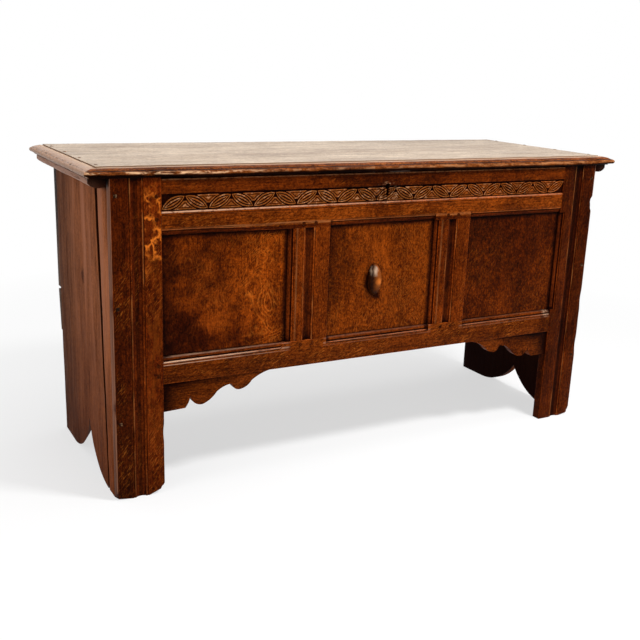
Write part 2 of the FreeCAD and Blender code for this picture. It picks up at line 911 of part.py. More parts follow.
def lock_bolt():
    """Square bolt with a talon notch that the key bit pushes."""
    x_low = keyhole_offset - bolt_tail
    y_high = bolt_front + bolt_thickness
    bar = block(x_low, x_low + bolt_length, bolt_front, y_high, bolt_base, bolt_base + bolt_height)
    half = bolt_talon_width / 2
    talon_x = (keyhole_offset - half, keyhole_offset + half)
    talon_z = (bolt_base - overrun, bolt_base + bolt_talon_depth)
    return bar.cut(block(*talon_x, bolt_front - overrun, y_high + overrun, *talon_z))


def bolt_guides():
    """Two loops on the plate that the bolt slides through."""
    guides = []
    for way in (-1, 1):
        middle = keyhole_offset + way * guide_spread
        x_span = (middle - guide_length / 2, middle + guide_length / 2)
        loop_y = (plate_back, bolt_front + bolt_thickness + guide_wall)
        loop_z = (bolt_base - guide_wall, bolt_base + bolt_height + guide_wall)
        loop = block(*x_span, *loop_y, *loop_z)
        eye_y = (bolt_front - fit, bolt_front + bolt_thickness + fit)
        eye_z = (bolt_base - fit, bolt_base + bolt_height + fit)
        guides.append(loop.cut(block(x_span[0] - overrun, x_span[1] + overrun, *eye_y, *eye_z)))
    return guides


def lid_plate():
    """Plate under the lid, its front edge showing in the gap over the rail, with the staple on it."""
    half = lid_plate_width / 2
    y_span = (front + lid_plate_setback, inside_front + lid_plate_behind_frame)
    plate = block(staple_offset - half, staple_offset + half, *y_span, lid_base - iron_thickness, lid_base)
    x_low, x_high, y_low, y_high = staple_span()
    eye_low = bolt_base - staple_eye_margin
    eye_high = bolt_base + bolt_height + staple_eye_margin
    tongue = block(x_low, x_high, y_low, y_high, eye_low - staple_lip, lid_base - iron_thickness)
    eye_y = (bolt_front - staple_eye_margin, bolt_front + bolt_thickness + staple_eye_margin)
    eye = block(x_low - overrun, x_high + overrun, *eye_y, eye_low, eye_high)
    return plate.fuse(tongue).cut([eye] + nail_holes(*lid_plate_nailing()))


def lid_plate_nailing():
    y = inside_front + lid_plate_behind_frame - lid_plate_nail_inset
    under = lid_base - iron_thickness
    places = (staple_offset - lid_plate_nail_spread, staple_offset + lid_plate_nail_spread)
    return [Vector(x, y, under) for x in places], upward, iron_nail_length


# Every node, as it goes together
for name, side in sides.items():
    save("front_" + name + "_stile", [stile(side)])
    save("front_" + name + "_muntin", [muntin(side)])
    save("front_" + name + "_bracket", [bracket(side)])
    save(name + "_end_narrow_board", [narrow_end_board(side)])
    save(name + "_end_wide_board", [wide_end_board(name)])
    save("lid_" + name + "_cleat", [lid_cleat(side)])
    save(name + "_hinge_lid_strap", [lid_strap(side)])
    save(name + "_hinge_back_strap", [back_strap(side)])
    save(name + "_hinge_pin", [hinge_pin(side)])

save("front_top_rail", [top_rail()])
save("front_bottom_rail", [bottom_rail()])
inner_edge = muntin_offset - muntin_width / 2
outer_edge = muntin_offset + muntin_width / 2
save("front_left_panel", [panel(-stile_edge, -outer_edge)])
save("front_middle_panel", [panel(-inner_edge, inner_edge)])
save("front_right_panel", [panel(outer_edge, stile_edge)])
save("oval_boss", [oval_boss()])
save("frame_pegs", frame_pegs())

save("back_upper_board", [upper_back_board()])
save("back_lower_board", [lower_back_board()])
for name, floor_board in floor_boards().items():
    save("floor_" + name + "_board", [floor_board])

lid_front_board, lid_rear_board_piece = lid_boards()
save("lid_front_board", [lid_front_board])
save("lid_rear_board", [lid_rear_board_piece])
save("lid_catch_plate", [lid_plate()])

save("lock_plate", [lock_plate()])
save("lock_case", [lock_case()])
save("lock_bolt", [lock_bolt()])
save("lock_bolt_guides", bolt_guides())
save("lock_drill_pin", [drill_pin()])

save("stile_nails", nails(*stile_nailing()))
save("back_nails", nails(*upper_back_nailing()) + nails(*lower_back_nailing()))
save("cleat_nails", nails(*cleat_nailing()))
save("lock_nails", nails(*lock_nailing()))
save("hinge_back_nails", nails(*back_strap_nailing()))
save("lid_iron_nails", nails(*lid_strap_nailing()) + nails(*lid_plate_nailing()))
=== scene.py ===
import math
import random
import bmesh
import bpy
from mathutils import Matrix, Vector
from mathutils.bvhtree import BVHTree


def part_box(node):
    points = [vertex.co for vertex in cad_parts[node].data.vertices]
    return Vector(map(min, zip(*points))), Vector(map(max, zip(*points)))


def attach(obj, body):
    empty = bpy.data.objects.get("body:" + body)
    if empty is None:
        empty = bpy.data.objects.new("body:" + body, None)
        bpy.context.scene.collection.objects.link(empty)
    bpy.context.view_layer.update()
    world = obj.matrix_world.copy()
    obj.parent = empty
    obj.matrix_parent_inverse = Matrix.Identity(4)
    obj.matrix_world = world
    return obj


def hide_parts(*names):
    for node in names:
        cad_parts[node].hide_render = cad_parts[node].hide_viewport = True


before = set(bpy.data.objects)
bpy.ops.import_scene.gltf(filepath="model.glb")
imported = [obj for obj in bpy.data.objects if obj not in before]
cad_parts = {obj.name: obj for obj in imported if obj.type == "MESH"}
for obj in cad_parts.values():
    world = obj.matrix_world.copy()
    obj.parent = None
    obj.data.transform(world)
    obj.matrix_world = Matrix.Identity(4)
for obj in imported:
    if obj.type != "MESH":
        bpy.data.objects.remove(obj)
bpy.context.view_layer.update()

# FRONT STILES
# Two upright oak posts that carry the front frame and run down to the floor as feet.
# A hollow between two beads is planed up each face, and the inner edge is moulded beside the panel.


def only(piece):
    bpy.ops.object.select_all(action="DESELECT")
    piece.select_set(True)
    bpy.context.view_layer.objects.active = piece


def edit(piece):
    only(piece)
    bpy.ops.object.mode_set(mode="EDIT")
    bpy.ops.mesh.select_all(action="SELECT")


def done():
    bpy.ops.object.mode_set(mode="OBJECT")


def take(node, name):
    """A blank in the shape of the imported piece, its triangles merged back to whole faces."""
    piece = bpy.data.objects.new(name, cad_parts[node].data.copy())
    bpy.context.scene.collection.objects.link(piece)
    piece.data.materials.clear()
    piece.data.materials.append(None)
    piece.data.materials.append(None)
    edit(piece)
    bpy.ops.mesh.customdata_custom_splitnormals_clear()
    bpy.ops.mesh.remove_doubles(threshold=0.00002)
    bpy.ops.mesh.dissolve_limited(angle_limit=math.radians(0.5))
    done()
    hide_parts(node)
    return piece


def soften(piece, width, shortest):
    """Takes off the long arrises that hands and brooms have worn."""
    edit(piece)
    bpy.ops.mesh.select_mode(type="EDGE")
    bpy.ops.mesh.select_all(action="DESELECT")
    shape = bmesh.from_edit_mesh(piece.data)
    for edge in shape.edges:
        if len(edge.link_faces) != 2 or edge.calc_length() < shortest:
            continue
        if not edge.is_convex or edge.calc_face_angle() < math.radians(50):
            continue
        edge.select = True
    bmesh.update_edit_mesh(piece.data)
    # the bevel faces take the paler second finish: partly wear, partly a painted highlight
    bpy.ops.mesh.bevel(offset=width, segments=3, affect="EDGES", clamp_overlap=True, material=1)
    bpy.ops.mesh.select_mode(type="VERT")
    done()


def stations(piece, axis, spacing):
    """Rings of points across the piece at an even spacing, so that its faces can move."""
    places = [v.co[axis] for v in piece.data.vertices]
    low, high = min(places), max(places)
    steps = max(1, round((high - low) / spacing))
    across = [0.0, 0.0, 0.0]
    across[axis] = 1.0
    edit(piece)
    for step in range(1, steps):
        point = [0.0, 0.0, 0.0]
        point[axis] = low + (high - low) * step / steps
        bpy.ops.mesh.select_all(action="SELECT")
        bpy.ops.mesh.bisect(plane_co=point, plane_no=across)
    done()


def weather(piece, depth, size):
    """Slight unevenness of a hand-planed and much-handled surface."""
    cloud = bpy.data.textures.new(piece.name + "_uneven", "CLOUDS")
    cloud.noise_scale = size
    cloud.noise_depth = 2
    uneven = piece.modifiers.new("uneven", "DISPLACE")
    uneven.texture = cloud
    uneven.texture_coords = "LOCAL"
    uneven.strength = depth
    uneven.mid_level = 0.5
    only(piece)
    bpy.ops.object.modifier_apply(modifier="uneven")


dressed = []


def fit(piece, woods, body="chest"):
    """Gives a piece its flat finish and a paler one for arrises and the rounds of mouldings, partly wear and
    partly a painted highlight.
    """
    while len(piece.data.materials) < 2:
        piece.data.materials.append(None)
    piece.data.materials[0], piece.data.materials[1] = woods
    only(piece)
    bpy.ops.object.shade_smooth_by_angle(angle=math.radians(38))
    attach(piece, body)
    dressed.append(piece)


def mark_wear_and_highlight_faces(piece, deepest):
    """Marks the tilted faces near the front, which hands and cloths reach, for the paler finish: partly wear,
    partly a painted highlight.
    """
    for face in piece.data.polygons:
        if face.center.y < deepest and -0.97 < face.normal.y < -0.2:
            face.material_index = 1


class Finish:
    """Node tree of one finish, with short ways to add its layers."""

    def __init__(self, name):
        self.material = bpy.data.materials.new(name)
        self.material.use_nodes = True
        self.tree = self.material.node_tree
        self.shader = self.tree.nodes["Principled BSDF"]
        self.place = self.tree.nodes.new("ShaderNodeTexCoord").outputs["Object"]

    def node(self, kind, inputs=None, **settings):
        """One node with its settings, its inputs filled or joined by their names or numbers."""
        made = self.tree.nodes.new(kind)
        for key, value in settings.items():
            setattr(made, key, value)
        for key, value in (inputs or {}).items():
            self.join(value, made.inputs[key])
        return made

    def join(self, source, socket):
        if isinstance(source, bpy.types.NodeSocket):
            self.tree.links.new(source, socket)
        else:
            socket.default_value = source

    def mapped(self, scale, shift=(0, 0, 0), turn=None):
        """Places on the piece, turned first where the pattern slants, then stretched and shifted."""
        place = self.place
        if turn:
            place = self.node("ShaderNodeMapping", {"Vector": place, "Rotation": turn}).outputs["Vector"]
        inputs = {"Vector": place, "Scale": scale, "Location": shift}
        return self.node("ShaderNodeMapping", inputs).outputs["Vector"]

    def noise(self, vector, scale, detail=3.0, rough=0.55, twist=0.0):
        inputs = {"Vector": vector, "Scale": scale, "Detail": detail, "Roughness": rough, "Distortion": twist}
        return self.node("ShaderNodeTexNoise", inputs).outputs["Fac"]

    def ramp(self, value, low, high, start=0.0, end=1.0):
        inputs = {"Value": value, "From Min": low, "From Max": high, "To Min": start, "To Max": end}
        return self.node("ShaderNodeMapRange", inputs, clamp=True).outputs["Result"]

    def colours(self, value, stops):
        made = self.node("ShaderNodeValToRGB", {"Fac": value})
        band = made.color_ramp
        while len(band.elements) < len(stops):
            band.elements.new(0.5)
        for element, (at, colour) in zip(band.elements, stops):
            element.position = at
            element.color = (*colour, 1)
        return made.outputs["Color"]

    def blend(self, share, under, over, how="MIX"):
        under, over = ((*c, 1) if isinstance(c, tuple) else c for c in (under, over))
        inputs = {0: share, 6: under, 7: over}
        return self.node("ShaderNodeMix", inputs, data_type="RGBA", blend_type=how).outputs[2]

    def sum(self, first, second, how="ADD"):
        return self.node("ShaderNodeMath", {0: first, 1: second}, operation=how).outputs[0]

    def times(self, first, second):
        return self.sum(first, second, "MULTIPLY")

    def minus(self, first, second):
        return self.sum(first, second, "SUBTRACT")

    def larger(self, first, second):
        return self.sum(first, second, "MAXIMUM")

    def size_of(self, value):
        return self.sum(value, 0.0, "ABSOLUTE")

    def stain(self, share, under, tint):
        """Colours the wood through its grain: below one darkens it, above one lightens it."""
        return self.blend(share, under, tint, "MULTIPLY")

    def held(self, name):
        """A value that the mesh holds at its points."""
        return self.node("ShaderNodeAttribute", attribute_name=name).outputs["Fac"]

    def axis(self, letter):
        return self.node("ShaderNodeSeparateXYZ", {0: self.place}).outputs[letter]

    def far_from(self, point, stretch=(1, 1, 1)):
        """Distance from a point to the places on the piece, stretched first."""
        inputs = {0: self.mapped(stretch), 1: point}
        return self.node("ShaderNodeVectorMath", inputs, operation="DISTANCE").outputs["Value"]

    def bumps(self, height, strength, depth):
        """The fine relief of the surface."""
        inputs = {"Strength": strength, "Distance": depth, "Height": height}
        made = self.node("ShaderNodeBump", inputs)
        self.join(made.outputs["Normal"], self.shader.inputs["Normal"])


front_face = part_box("front_left_stile")[0].y


def dent(piece, at, radius, push):
    """One knock or worn hollow: the wood within the radius is pushed in, most at its middle."""
    for point in piece.data.vertices:
        away = (point.co - Vector(at)).length / radius
        if away < 1:
            point.co += Vector(push) * (1 - away * away) ** 2


def tones(colour, spread=1.0):
    """Five tones of one wood, from the dark of its grain to its lightest figure."""
    shares = (0.2, 0.55, 0.95, 1.5, 2.2)
    stops = []
    for at, share in zip((0.35, 0.44, 0.5, 0.565, 0.66), shares):
        lift = share**spread
        stops.append((at, (colour[0] * lift, colour[1] * lift**1.12, colour[2] * lift**1.2)))
    return stops


def oak(name, along, colour, shift=(0, 0, 0), flecks=0.4, pores=0.5, rough=(0.3, 0.5), bump=0.6, streaks=0.45,
        gloss=0.014, spread=1.2, grime=1.0, pits=0.6, swirl=0.0, more=None):
    """Old oak: broad tone, mottle, streaks, dark pores and pits, silver-ray flecks, and painted shade in the
    corners.
    """
    ray_colour = (0.4, 0.105, 0.012)
    f = Finish(name)
    stretch = {"X": (0.07, 1, 1), "Y": (1, 0.07, 1), "Z": (1, 1, 0.07)}[along]
    soft = tuple(0.5 if s < 1 else 1 for s in stretch)
    tone = f.noise(f.mapped(soft, shift), 8, 4, 0.6, 0.5)
    streak = f.noise(f.mapped(stretch, shift), 85, 5, 0.65, 0.4)
    pore = f.noise(f.mapped(tuple(0.04 if s < 1 else 1 for s in stretch), shift), 520, 2, 0.6)
    mottle = f.noise(f.mapped((1, 1, 1), shift), 48, 6, 0.75, 0.6)
    speck = f.noise(f.mapped(tuple(0.7 if s < 1 else 1 for s in stretch), shift), 250, 3, 0.75, 0.4)
    mixed = f.sum(f.times(tone, 0.34), f.times(mottle, 0.24))
    mixed = f.sum(mixed, f.times(speck, 0.42))
    surface = f.colours(mixed, tones(colour, spread))
    streak_dark = f.ramp(streak, 0.47, 0.7, 0.0, streaks)
    surface = f.stain(streak_dark, surface, (0.2, 0.13, 0.1))
    if flecks:
        slant = {"X": (0, math.radians(-65), 0), "Y": (0, 0, 0), "Z": (0, math.radians(-38), 0)}[along]
        ray = f.noise(f.mapped((1, 1, 0.13), shift, slant), 430, 2, 0.6, 1.0)
        patch = f.ramp(f.noise(f.mapped((1, 1, 0.6), shift), 9, 3, 0.6), 0.42, 0.6)
        fleck = f.times(f.ramp(ray, 0.56, 0.64), f.times(patch, flecks))
        surface = f.blend(fleck, surface, ray_colour)
    if swirl:
        wander = f.noise(f.mapped((1, 1, 0.7), shift), 9, 3, 0.5, 0.9)
        line = f.sum(f.times(wander, 34.0), 0.5, "PINGPONG")
        patches = f.noise(f.mapped((1, 1, 1), (shift[2], 0, shift[0])), 14, 3, 0.6)
        where = f.ramp(patches, 0.42, 0.62, 0.0, swirl)
        surface = f.blend(f.times(f.ramp(line, 0.3, 0.5), where), surface, ray_colour)
        surface = f.stain(f.times(f.ramp(line, 0.2, 0.0), where), surface, (0.4, 0.32, 0.28))
    pore_dark = f.ramp(pore, 0.5, 0.64, 0.0, pores)
    surface = f.stain(pore_dark, surface, (0.14, 0.08, 0.06))
    pit_stretch = tuple(0.4 if s < 1 else 1 for s in stretch)
    pit = f.noise(f.mapped(pit_stretch, (shift[2], 3.1, shift[0])), 300, 2, 0.6, 0.8)
    surface = f.stain(f.ramp(pit, 0.56, 0.66, 0.0, pits), surface, (0.12, 0.07, 0.05))
    if more:
        surface = more(f, surface)
    # painted shade: the occlusion held at each corner darkens the piece's corners and hollows
    patchy = f.sum(f.held("grime"), f.ramp(mottle, 0.3, 0.7, -0.06, 0.06))
    surface = f.stain(f.ramp(patchy, 0.08, 0.5, 0.0, 0.97 * grime), surface, (0.06, 0.03, 0.02))
    f.join(surface, f.shader.inputs["Base Color"])
    f.shader.inputs["Specular IOR Level"].default_value = gloss
    f.join(f.ramp(streak, 0.3, 0.75, *rough), f.shader.inputs["Roughness"])
    height = f.sum(f.times(streak, 0.6), f.times(pore, -0.4))
    f.bumps(f.sum(height, f.times(mottle, 0.7)), bump, 0.0013)
    return f.material


def woods(name, along, colour, shift=(0, 0, 0), flecks=0.4, **look):
    """The flat finish of a piece, and a paler copy for its arrises and rounds: partly worn polish, partly a
    painted highlight.
    """
    flat = oak(name + "_oak", along, colour, shift, flecks, **look)
    look.update(rough=(0.3, 0.45), gloss=0.016, bump=0.35)
    return flat, oak(name + "_rubbed", along, tuple(c * 1.9 for c in colour), shift, 0, **look)


def between(f, value, low, high, soft):
    """One inside a span of a coordinate, fading to nothing outside it."""
    return f.times(f.ramp(value, low - soft, low + soft), f.ramp(value, high - soft, high + soft, 1.0, 0.0))


channel_at = 0.58275


def channel_shade_and_highlight(f, surface, middle, depth=0.4):
    """The hollow between the beads, darkened with painted shade, and the beads, paler in streaks: partly
    wear, partly a painted highlight.
    """
    hollow = between(f, f.axis("X"), middle - 0.0105, middle + 0.0105, 0.0012)
    surface = f.stain(f.times(hollow, depth), surface, (0.42, 0.34, 0.28))
    off = f.size_of(f.minus(f.axis("X"), middle))
    streaky = f.ramp(f.noise(f.mapped((1, 1, 0.12), (middle, 0, 0)), 90, 3, 0.6), 0.45, 0.6, 0.0, 0.4)
    return f.blend(f.times(between(f, off, 0.0118, 0.0136, 0.0006), streaky), surface, (0.4, 0.15, 0.04))


def worn_highlit_line(f, surface, across, along, low, high, share):
    """A bead or arris paler in streaks: partly polished by cloths, partly a painted highlight."""
    stretch = {"X": (0.1, 1, 1), "Z": (1, 1, 0.1)}[along]
    streaky = f.ramp(f.noise(f.mapped(stretch, (low, 0, high)), 110, 3, 0.6), 0.4, 0.58, 0.1, share)
    line = f.times(between(f, f.axis(across), low, high, 0.0006), streaky)
    return f.blend(line, surface, (0.34, 0.13, 0.042))


def left_stile_layers(f, surface):
    """Bright sapwood blotches on the inner strip, and the dull end colour on the outer edge."""
    strip = between(f, f.axis("X"), -0.567, -0.532, 0.002)
    strip = f.times(strip, between(f, f.axis("Z"), 0.5, 0.655, 0.03))
    wobble = f.node("ShaderNodeTexNoise", {"Vector": f.place, "Scale": 60}).outputs["Color"]
    shaken = f.node("ShaderNodeVectorMath", {0: wobble, "Scale": 0.022}, operation="SCALE").outputs[0]
    places = {0: f.mapped((1, 0.2, 0.62), (3.3, 0, 1.9)), 1: shaken}
    bent = f.node("ShaderNodeVectorMath", places, operation="ADD").outputs[0]
    cells = f.node("ShaderNodeTexVoronoi", {"Vector": bent, "Scale": 48}, feature="DISTANCE_TO_EDGE")
    vein = f.ramp(cells.outputs["Distance"], 0.02, 0.13, 0.9, 0.0)
    vein = f.times(vein, f.ramp(f.noise(f.place, 32, 3), 0.44, 0.58))
    surface = f.blend(f.times(vein, strip), surface, (0.5, 0.13, 0.012))
    high = f.times(f.ramp(f.axis("X"), -0.585, -0.57, 1.0, 0.0), f.ramp(f.axis("Z"), 0.35, 0.62, 0.0, 0.7))
    surface = f.stain(high, surface, (0.5, 0.42, 0.4))
    surface = channel_shade_and_highlight(f, surface, -channel_at, 0.0)
    surface = f.stain(between(f, f.axis("X"), -0.594, -0.5715, 0.002), surface, (1.45, 1.5, 1.5))
    surface = f.stain(between(f, f.axis("X"), -0.5665, -0.532, 0.002), surface, (1.3, 1.2, 1.2))
    surface = f.stain(f.ramp(f.axis("Z"), 0.14, 0.3, 0.9, 0.0), surface, (0.74, 0.78, 0.87))
    low = f.times(between(f, f.axis("X"), -0.5655, -0.533, 0.002), between(f, f.axis("Z"), 0.14, 0.5, 0.06))
    low = f.times(low, f.ramp(f.noise(f.mapped((1, 1, 0.4)), 70, 4, 0.65), 0.44, 0.6, 0.0, 0.36))
    surface = f.blend(low, surface, (0.21, 0.044, 0.004))
    grain = f.noise(f.mapped((1, 1, 0.06), (0, 3.1, 0)), 130, 4, 0.6)
    dry_tones = [(0.38, (0.1, 0.032, 0.013)), (0.52, (0.17, 0.058, 0.025)), (0.64, (0.23, 0.082, 0.038))]
    plank = f.colours(grain, dry_tones)
    plank = f.stain(f.ramp(f.axis("Z"), 0.02, 0.26, 0.75, 0.0), plank, (0.55, 0.42, 0.3))
    plank = f.blend(f.ramp(f.axis("Y"), -0.2345, -0.2325, 0.75, 0.0), plank, (0.36, 0.17, 0.1))
    dull = f.ramp(f.axis("X"), -0.6347, -0.6337, 1.0, 0.0)
    return f.blend(dull, surface, plank)


def right_stile_layers(f, surface):
    surface = channel_shade_and_highlight(f, surface, channel_at, 0.65)
    return f.blend(f.ramp(f.axis("X"), 0.6325, 0.6347), surface, (0.2, 0.085, 0.05))


stile_side = 0.635
stile_inside = 0.5305
front_arris = -0.235
stile_knocks = {
    "left": [((-stile_side, front_arris, 0.0), 0.022, (0.003, 0.002, 0.003)),
             ((-stile_inside, -0.23, 0.0), 0.024, (-0.009, 0.0, 0.011)),
             ((-stile_side, front_arris, 0.21), 0.02, (0.0015, 0.001, 0)),
             ((-stile_side, front_arris, 0.43), 0.03, (0.0012, 0.001, 0)),
             ((-stile_inside, front_arris, 0.14), 0.025, (-0.0015, 0.001, 0))],
    "right": [((stile_side, front_arris, 0.592), 0.012, (-0.005, 0.002, 0)),
              ((stile_side, front_arris, 0.577), 0.012, (-0.003, 0.002, 0)),
              ((stile_side, front_arris, 0.33), 0.03, (-0.0012, 0.001, 0)),
              ((stile_side, front_arris, 0.2), 0.03, (-0.0012, 0.001, 0)),
              ((stile_side, front_arris, 0.0), 0.024, (-0.004, 0.002, 0.004))],
}
stile_finishes = (("left", (0.074, 0.0108, 0.0008), (0.3, 0, 0.1), 0.52, left_stile_layers),
                  ("right", (0.057, 0.0086, 0.0008), (1.7, 0, 0.6), 0.15, right_stile_layers))
for side, colour, shift, flecks, layers in stile_finishes:
    stile = take(f"front_{side}_stile", f"{side}_stile")
    soften(stile, 0.0016, 0.1)
    stations(stile, 2, 0.008)
    weather(stile, 0.0012, 0.07)
    for knock in stile_knocks[side]:
        dent(stile, *knock)
    mark_wear_and_highlight_faces(stile, front_face + 0.007)
    fit(stile, woods(f"{side}_stile", "Z", colour, shift, flecks, more=layers))

# TOP RAIL
# The long rail under the lid, tenoned into the stiles, with a sunk band that a carver filled with leaves.
# A half-round bead runs under the band, and the keyhole goes through it near the middle.

top_rail = take("front_top_rail", "top_rail")
soften(top_rail, 0.0012, 0.1)
stations(top_rail, 0, 0.012)
weather(top_rail, 0.0012, 0.07)

leaf_half_length = 0.0275
leaf_half_width = 0.0104
leaf_pitch = 0.0506
leaf_count = 21
leaf_height = 0.6323
leaf_slope = math.radians(28)
ground = front_face + 0.0043
leaf_rise = 0.0036
leaf_round = (leaf_half_length**2 + leaf_half_width**2) / (2 * leaf_half_width)


def leaf_edge(u, off=0.0):
    """Half width of the leaf at a place along its length."""
    return math.sqrt((leaf_round + off) ** 2 - u * u) - (leaf_round - leaf_half_width)


def flat_blank(name, outline):
    """A thin filled blank facing the front, with its corners laid out on the outline."""
    bpy.ops.object.select_all(action="DESELECT")
    bpy.ops.mesh.primitive_circle_add(vertices=len(outline), radius=0.01, fill_type="NGON")
    blank = bpy.context.object
    blank.name = name
    for point, (x, z) in zip(blank.data.vertices, outline):
        point.co = (x, 0, z)
    edit(blank)
    bpy.ops.mesh.normals_make_consistent(inside=False)
    done()
    if blank.data.polygons[0].normal.y > 0:
        edit(blank)
        bpy.ops.mesh.flip_normals()
        done()
    return blank


def step_in(share_long, share_wide, forward, middle=0.0):
    """The carved face again, smaller by these shares and further forward or back."""
    bpy.ops.mesh.extrude_region_move(TRANSFORM_OT_translate={"value": (0, -forward, 0)})
    bpy.ops.transform.resize(value=(share_long, 1, share_wide), center_override=(0, 0, middle))


steps = [leaf_half_length * (step / 9 * 2 - 1) for step in range(10)]
lower_side = [(u, -leaf_edge(u)) for u in steps]
upper_side = [(u, leaf_edge(u)) for u in reversed(steps[1:-1])]
leaf = flat_blank("leaf", lower_side + upper_side)
edit(leaf)
bpy.ops.mesh.extrude_region_move(TRANSFORM_OT_translate={"value": (0, -leaf_rise + 0.0006, 0)})
leaf_steps = ((0.989, 0.98, 0.0006), (0.9, 0.765, 0.0), (0.975, 0.907, -0.0022), (0.92, 0.735, 0.0),
              (0.97, 0.86, 0.0022), (0.8, 0.465, 0.0003), (0.93, 0.65, -0.002), (0.85, 0.4, 0.0))
for share in leaf_steps:
    step_in(*share)
done()

corner = []
for step in range(9):
    u = -0.006 + 0.0265 * step / 8
    v = leaf_edge(u, 0.0024)
    x = u * math.cos(leaf_slope) + v * math.sin(leaf_slope)
    z = u * math.sin(leaf_slope) - v * math.cos(leaf_slope)
    corner.append((x - leaf_pitch / 2, z))
corner = [(corner[0][0] + 0.003, corner[0][1] - 0.0008)] + corner
corner += [(-x, z) for x, z in reversed(corner)]
spandrel = flat_blank("spandrel", corner)
edit(spandrel)
bpy.ops.mesh.extrude_region_move(TRANSFORM_OT_translate={"value": (0, -leaf_rise + 0.0011, 0)})
for share, forward in ((0.95, 0.0004), (0.74, 0.0), (0.9, -0.0009), (0.68, 0.0), (0.84, 0.0009), (0.5, 0.0)):
    step_in(share, share, forward, -0.0068)
done()

carving = []
for number in range(leaf_count):
    at = (number - (leaf_count - 1) / 2) * leaf_pitch
    way = 1 if number % 2 == 0 else -1
    copy = bpy.data.objects.new(f"leaf_{number}", leaf.data.copy())
    copy.data.transform(Matrix.Rotation(-way * leaf_slope, 4, "Y"))
    copy.data.transform(Matrix.Translation((at, ground, leaf_height)))
    carving.append(copy)
    if number < leaf_count - 1:
        filling = bpy.data.objects.new(f"spandrel_{number}", spandrel.data.copy())
        if way < 0:
            filling.data.transform(Matrix.Rotation(math.pi, 4, "Y"))
        filling.data.transform(Matrix.Translation((at + leaf_pitch / 2, ground, leaf_height)))
        carving.append(filling)
bpy.data.objects.remove(leaf)
bpy.data.objects.remove(spandrel)
bpy.ops.object.select_all(action="DESELECT")
key_x, key_eye, key_slot = 0.0035, 0.65, 0.64
bpy.ops.mesh.primitive_cylinder_add(vertices=24, radius=0.0068, depth=0.03,
                                    location=(key_x, front_face, key_eye), rotation=(math.pi / 2, 0, 0))
key_way = bpy.context.object
edit(key_way)
bpy.ops.mesh.select_all(action="DESELECT")
bpy.ops.mesh.primitive_cube_add(size=0.0064, location=(key_x, front_face, key_slot), rotation=(0, 0, 0))
bpy.ops.transform.resize(value=(1, 4.7, 3.5), center_override=(key_x, front_face, key_slot))
done()
for copy in carving:
    bpy.context.scene.collection.objects.link(copy)
    if any(abs(point.co.x - key_x) < 0.007 for point in copy.data.vertices):
        only(copy)
        cut = copy.modifiers.new("key_way", "BOOLEAN")
        cut.object = key_way
        cut.solver = "EXACT"
        cut.use_self = True
        bpy.ops.object.modifier_apply(modifier="key_way")
bpy.data.objects.remove(key_way)
only(top_rail)
for copy in carving:
    copy.select_set(True)
bpy.ops.object.join()
weather(top_rail, 0.0006, 0.012)


def carved_band_layers(f, surface):
    """The carving, paler where it stands proud, partly wear and partly a painted highlight, and dark with
    painted shade in its cuts; the strip above stays dark.
    """
    band = between(f, f.axis("Z"), 0.6165, 0.6505, 0.0004)
    worn = f.noise(f.place, 160, 3, 0.6)
    deep = f.ramp(f.axis("Y"), front_face + 0.0013, front_face + 0.0026)
    # paler where the carving stands proud: partly wear, partly a painted highlight, less to the right
    proud = f.times(f.times(band, f.ramp(deep, 0.0, 1.0, 1.0, 0.0)), f.ramp(worn, 0.3, 0.65, 0.35, 1.0))
    fading = f.ramp(f.axis("X"), 0.0, 0.5, 1.0, 0.4)
    proud = f.times(proud, fading)
    surface = f.blend(f.times(proud, 0.75), surface, (0.235, 0.073, 0.014))
    # painted shade in the cuts of the carving
    surface = f.stain(f.times(band, deep), surface, (0.3, 0.22, 0.17))
    scuff = f.ramp(f.noise(f.mapped((0.6, 1, 1), (2, 0, 5), (0, 0.5, 0)), 190, 3, 0.6, 0.5), 0.55, 0.62)
    bright = f.times(f.times(band, scuff), f.ramp(deep, 0.0, 0.6, 0.55, 0.0))
    surface = f.blend(f.times(bright, fading), surface, (0.5, 0.25, 0.12))
    # painted highlight along the bead, strongest at the left
    bead = between(f, f.axis("Z"), 0.6122, 0.6153, 0.0006)
    left = f.ramp(f.axis("X"), -0.45, 0.1, 0.95, 0.26)
    surface = f.blend(f.times(f.times(bead, left), f.ramp(worn, 0.3, 0.5)), surface, (0.5, 0.27, 0.16))
    scar = f.far_from((0.004 * 0.8, 0, 0.637), (0.8, 0, 1))
    near = f.ramp(scar, 0.012, 0.04, 1.0, 0.0)
    scarred = f.times(near, f.ramp(f.noise(f.place, 210, 3, 0.6, 1.0), 0.5, 0.58))
    surface = f.blend(f.times(scarred, 0.85), surface, (0.02, 0.005, 0.002))
    scratch = f.noise(f.mapped((0.35, 1, 1), (7, 0, 3), (0, 0.15, 0)), 260, 3, 0.6, 0.6)
    scratch = f.times(f.ramp(scratch, 0.57, 0.63, 0.0, 0.6), between(f, scar, 0.012, 0.026, 0.004))
    surface = f.blend(scratch, surface, (0.5, 0.27, 0.15))
    # painted highlights along the arrises of the moulding below, partly wear
    surface = worn_highlit_line(f, surface, "Z", "X", 0.579, 0.5808, 0.6)
    surface = worn_highlit_line(f, surface, "Z", "X", 0.5752, 0.5784, 0.45)
    # painted shadow along the lower part of the moulding
    surface = f.stain(between(f, f.axis("Z"), 0.563, 0.5735, 0.001), surface, (0.45, 0.36, 0.3))
    surface = f.stain(f.ramp(f.axis("Z"), 0.646, 0.652, 0.0, 0.75), surface, (0.42, 0.32, 0.26))
    # painted highlight along the top arris, partly wear
    arris = f.times(f.ramp(f.axis("Z"), 0.6775, 0.679), f.ramp(worn, 0.35, 0.55))
    return f.blend(f.times(arris, 0.6), surface, (0.34, 0.14, 0.06))


mark_wear_and_highlight_faces(top_rail, front_face + 0.007)
fit(top_rail, woods("top_rail", "X", (0.15, 0.027, 0.002), (0.4, 0, 1.3), 0.45, grime=0.8,
                    more=carved_band_layers))

# BOTTOM RAIL
# The oak rail under the panels, its upper edge moulded along each panel and ended at the muntins.
# Its tenons go into the stiles and are held by pegs.


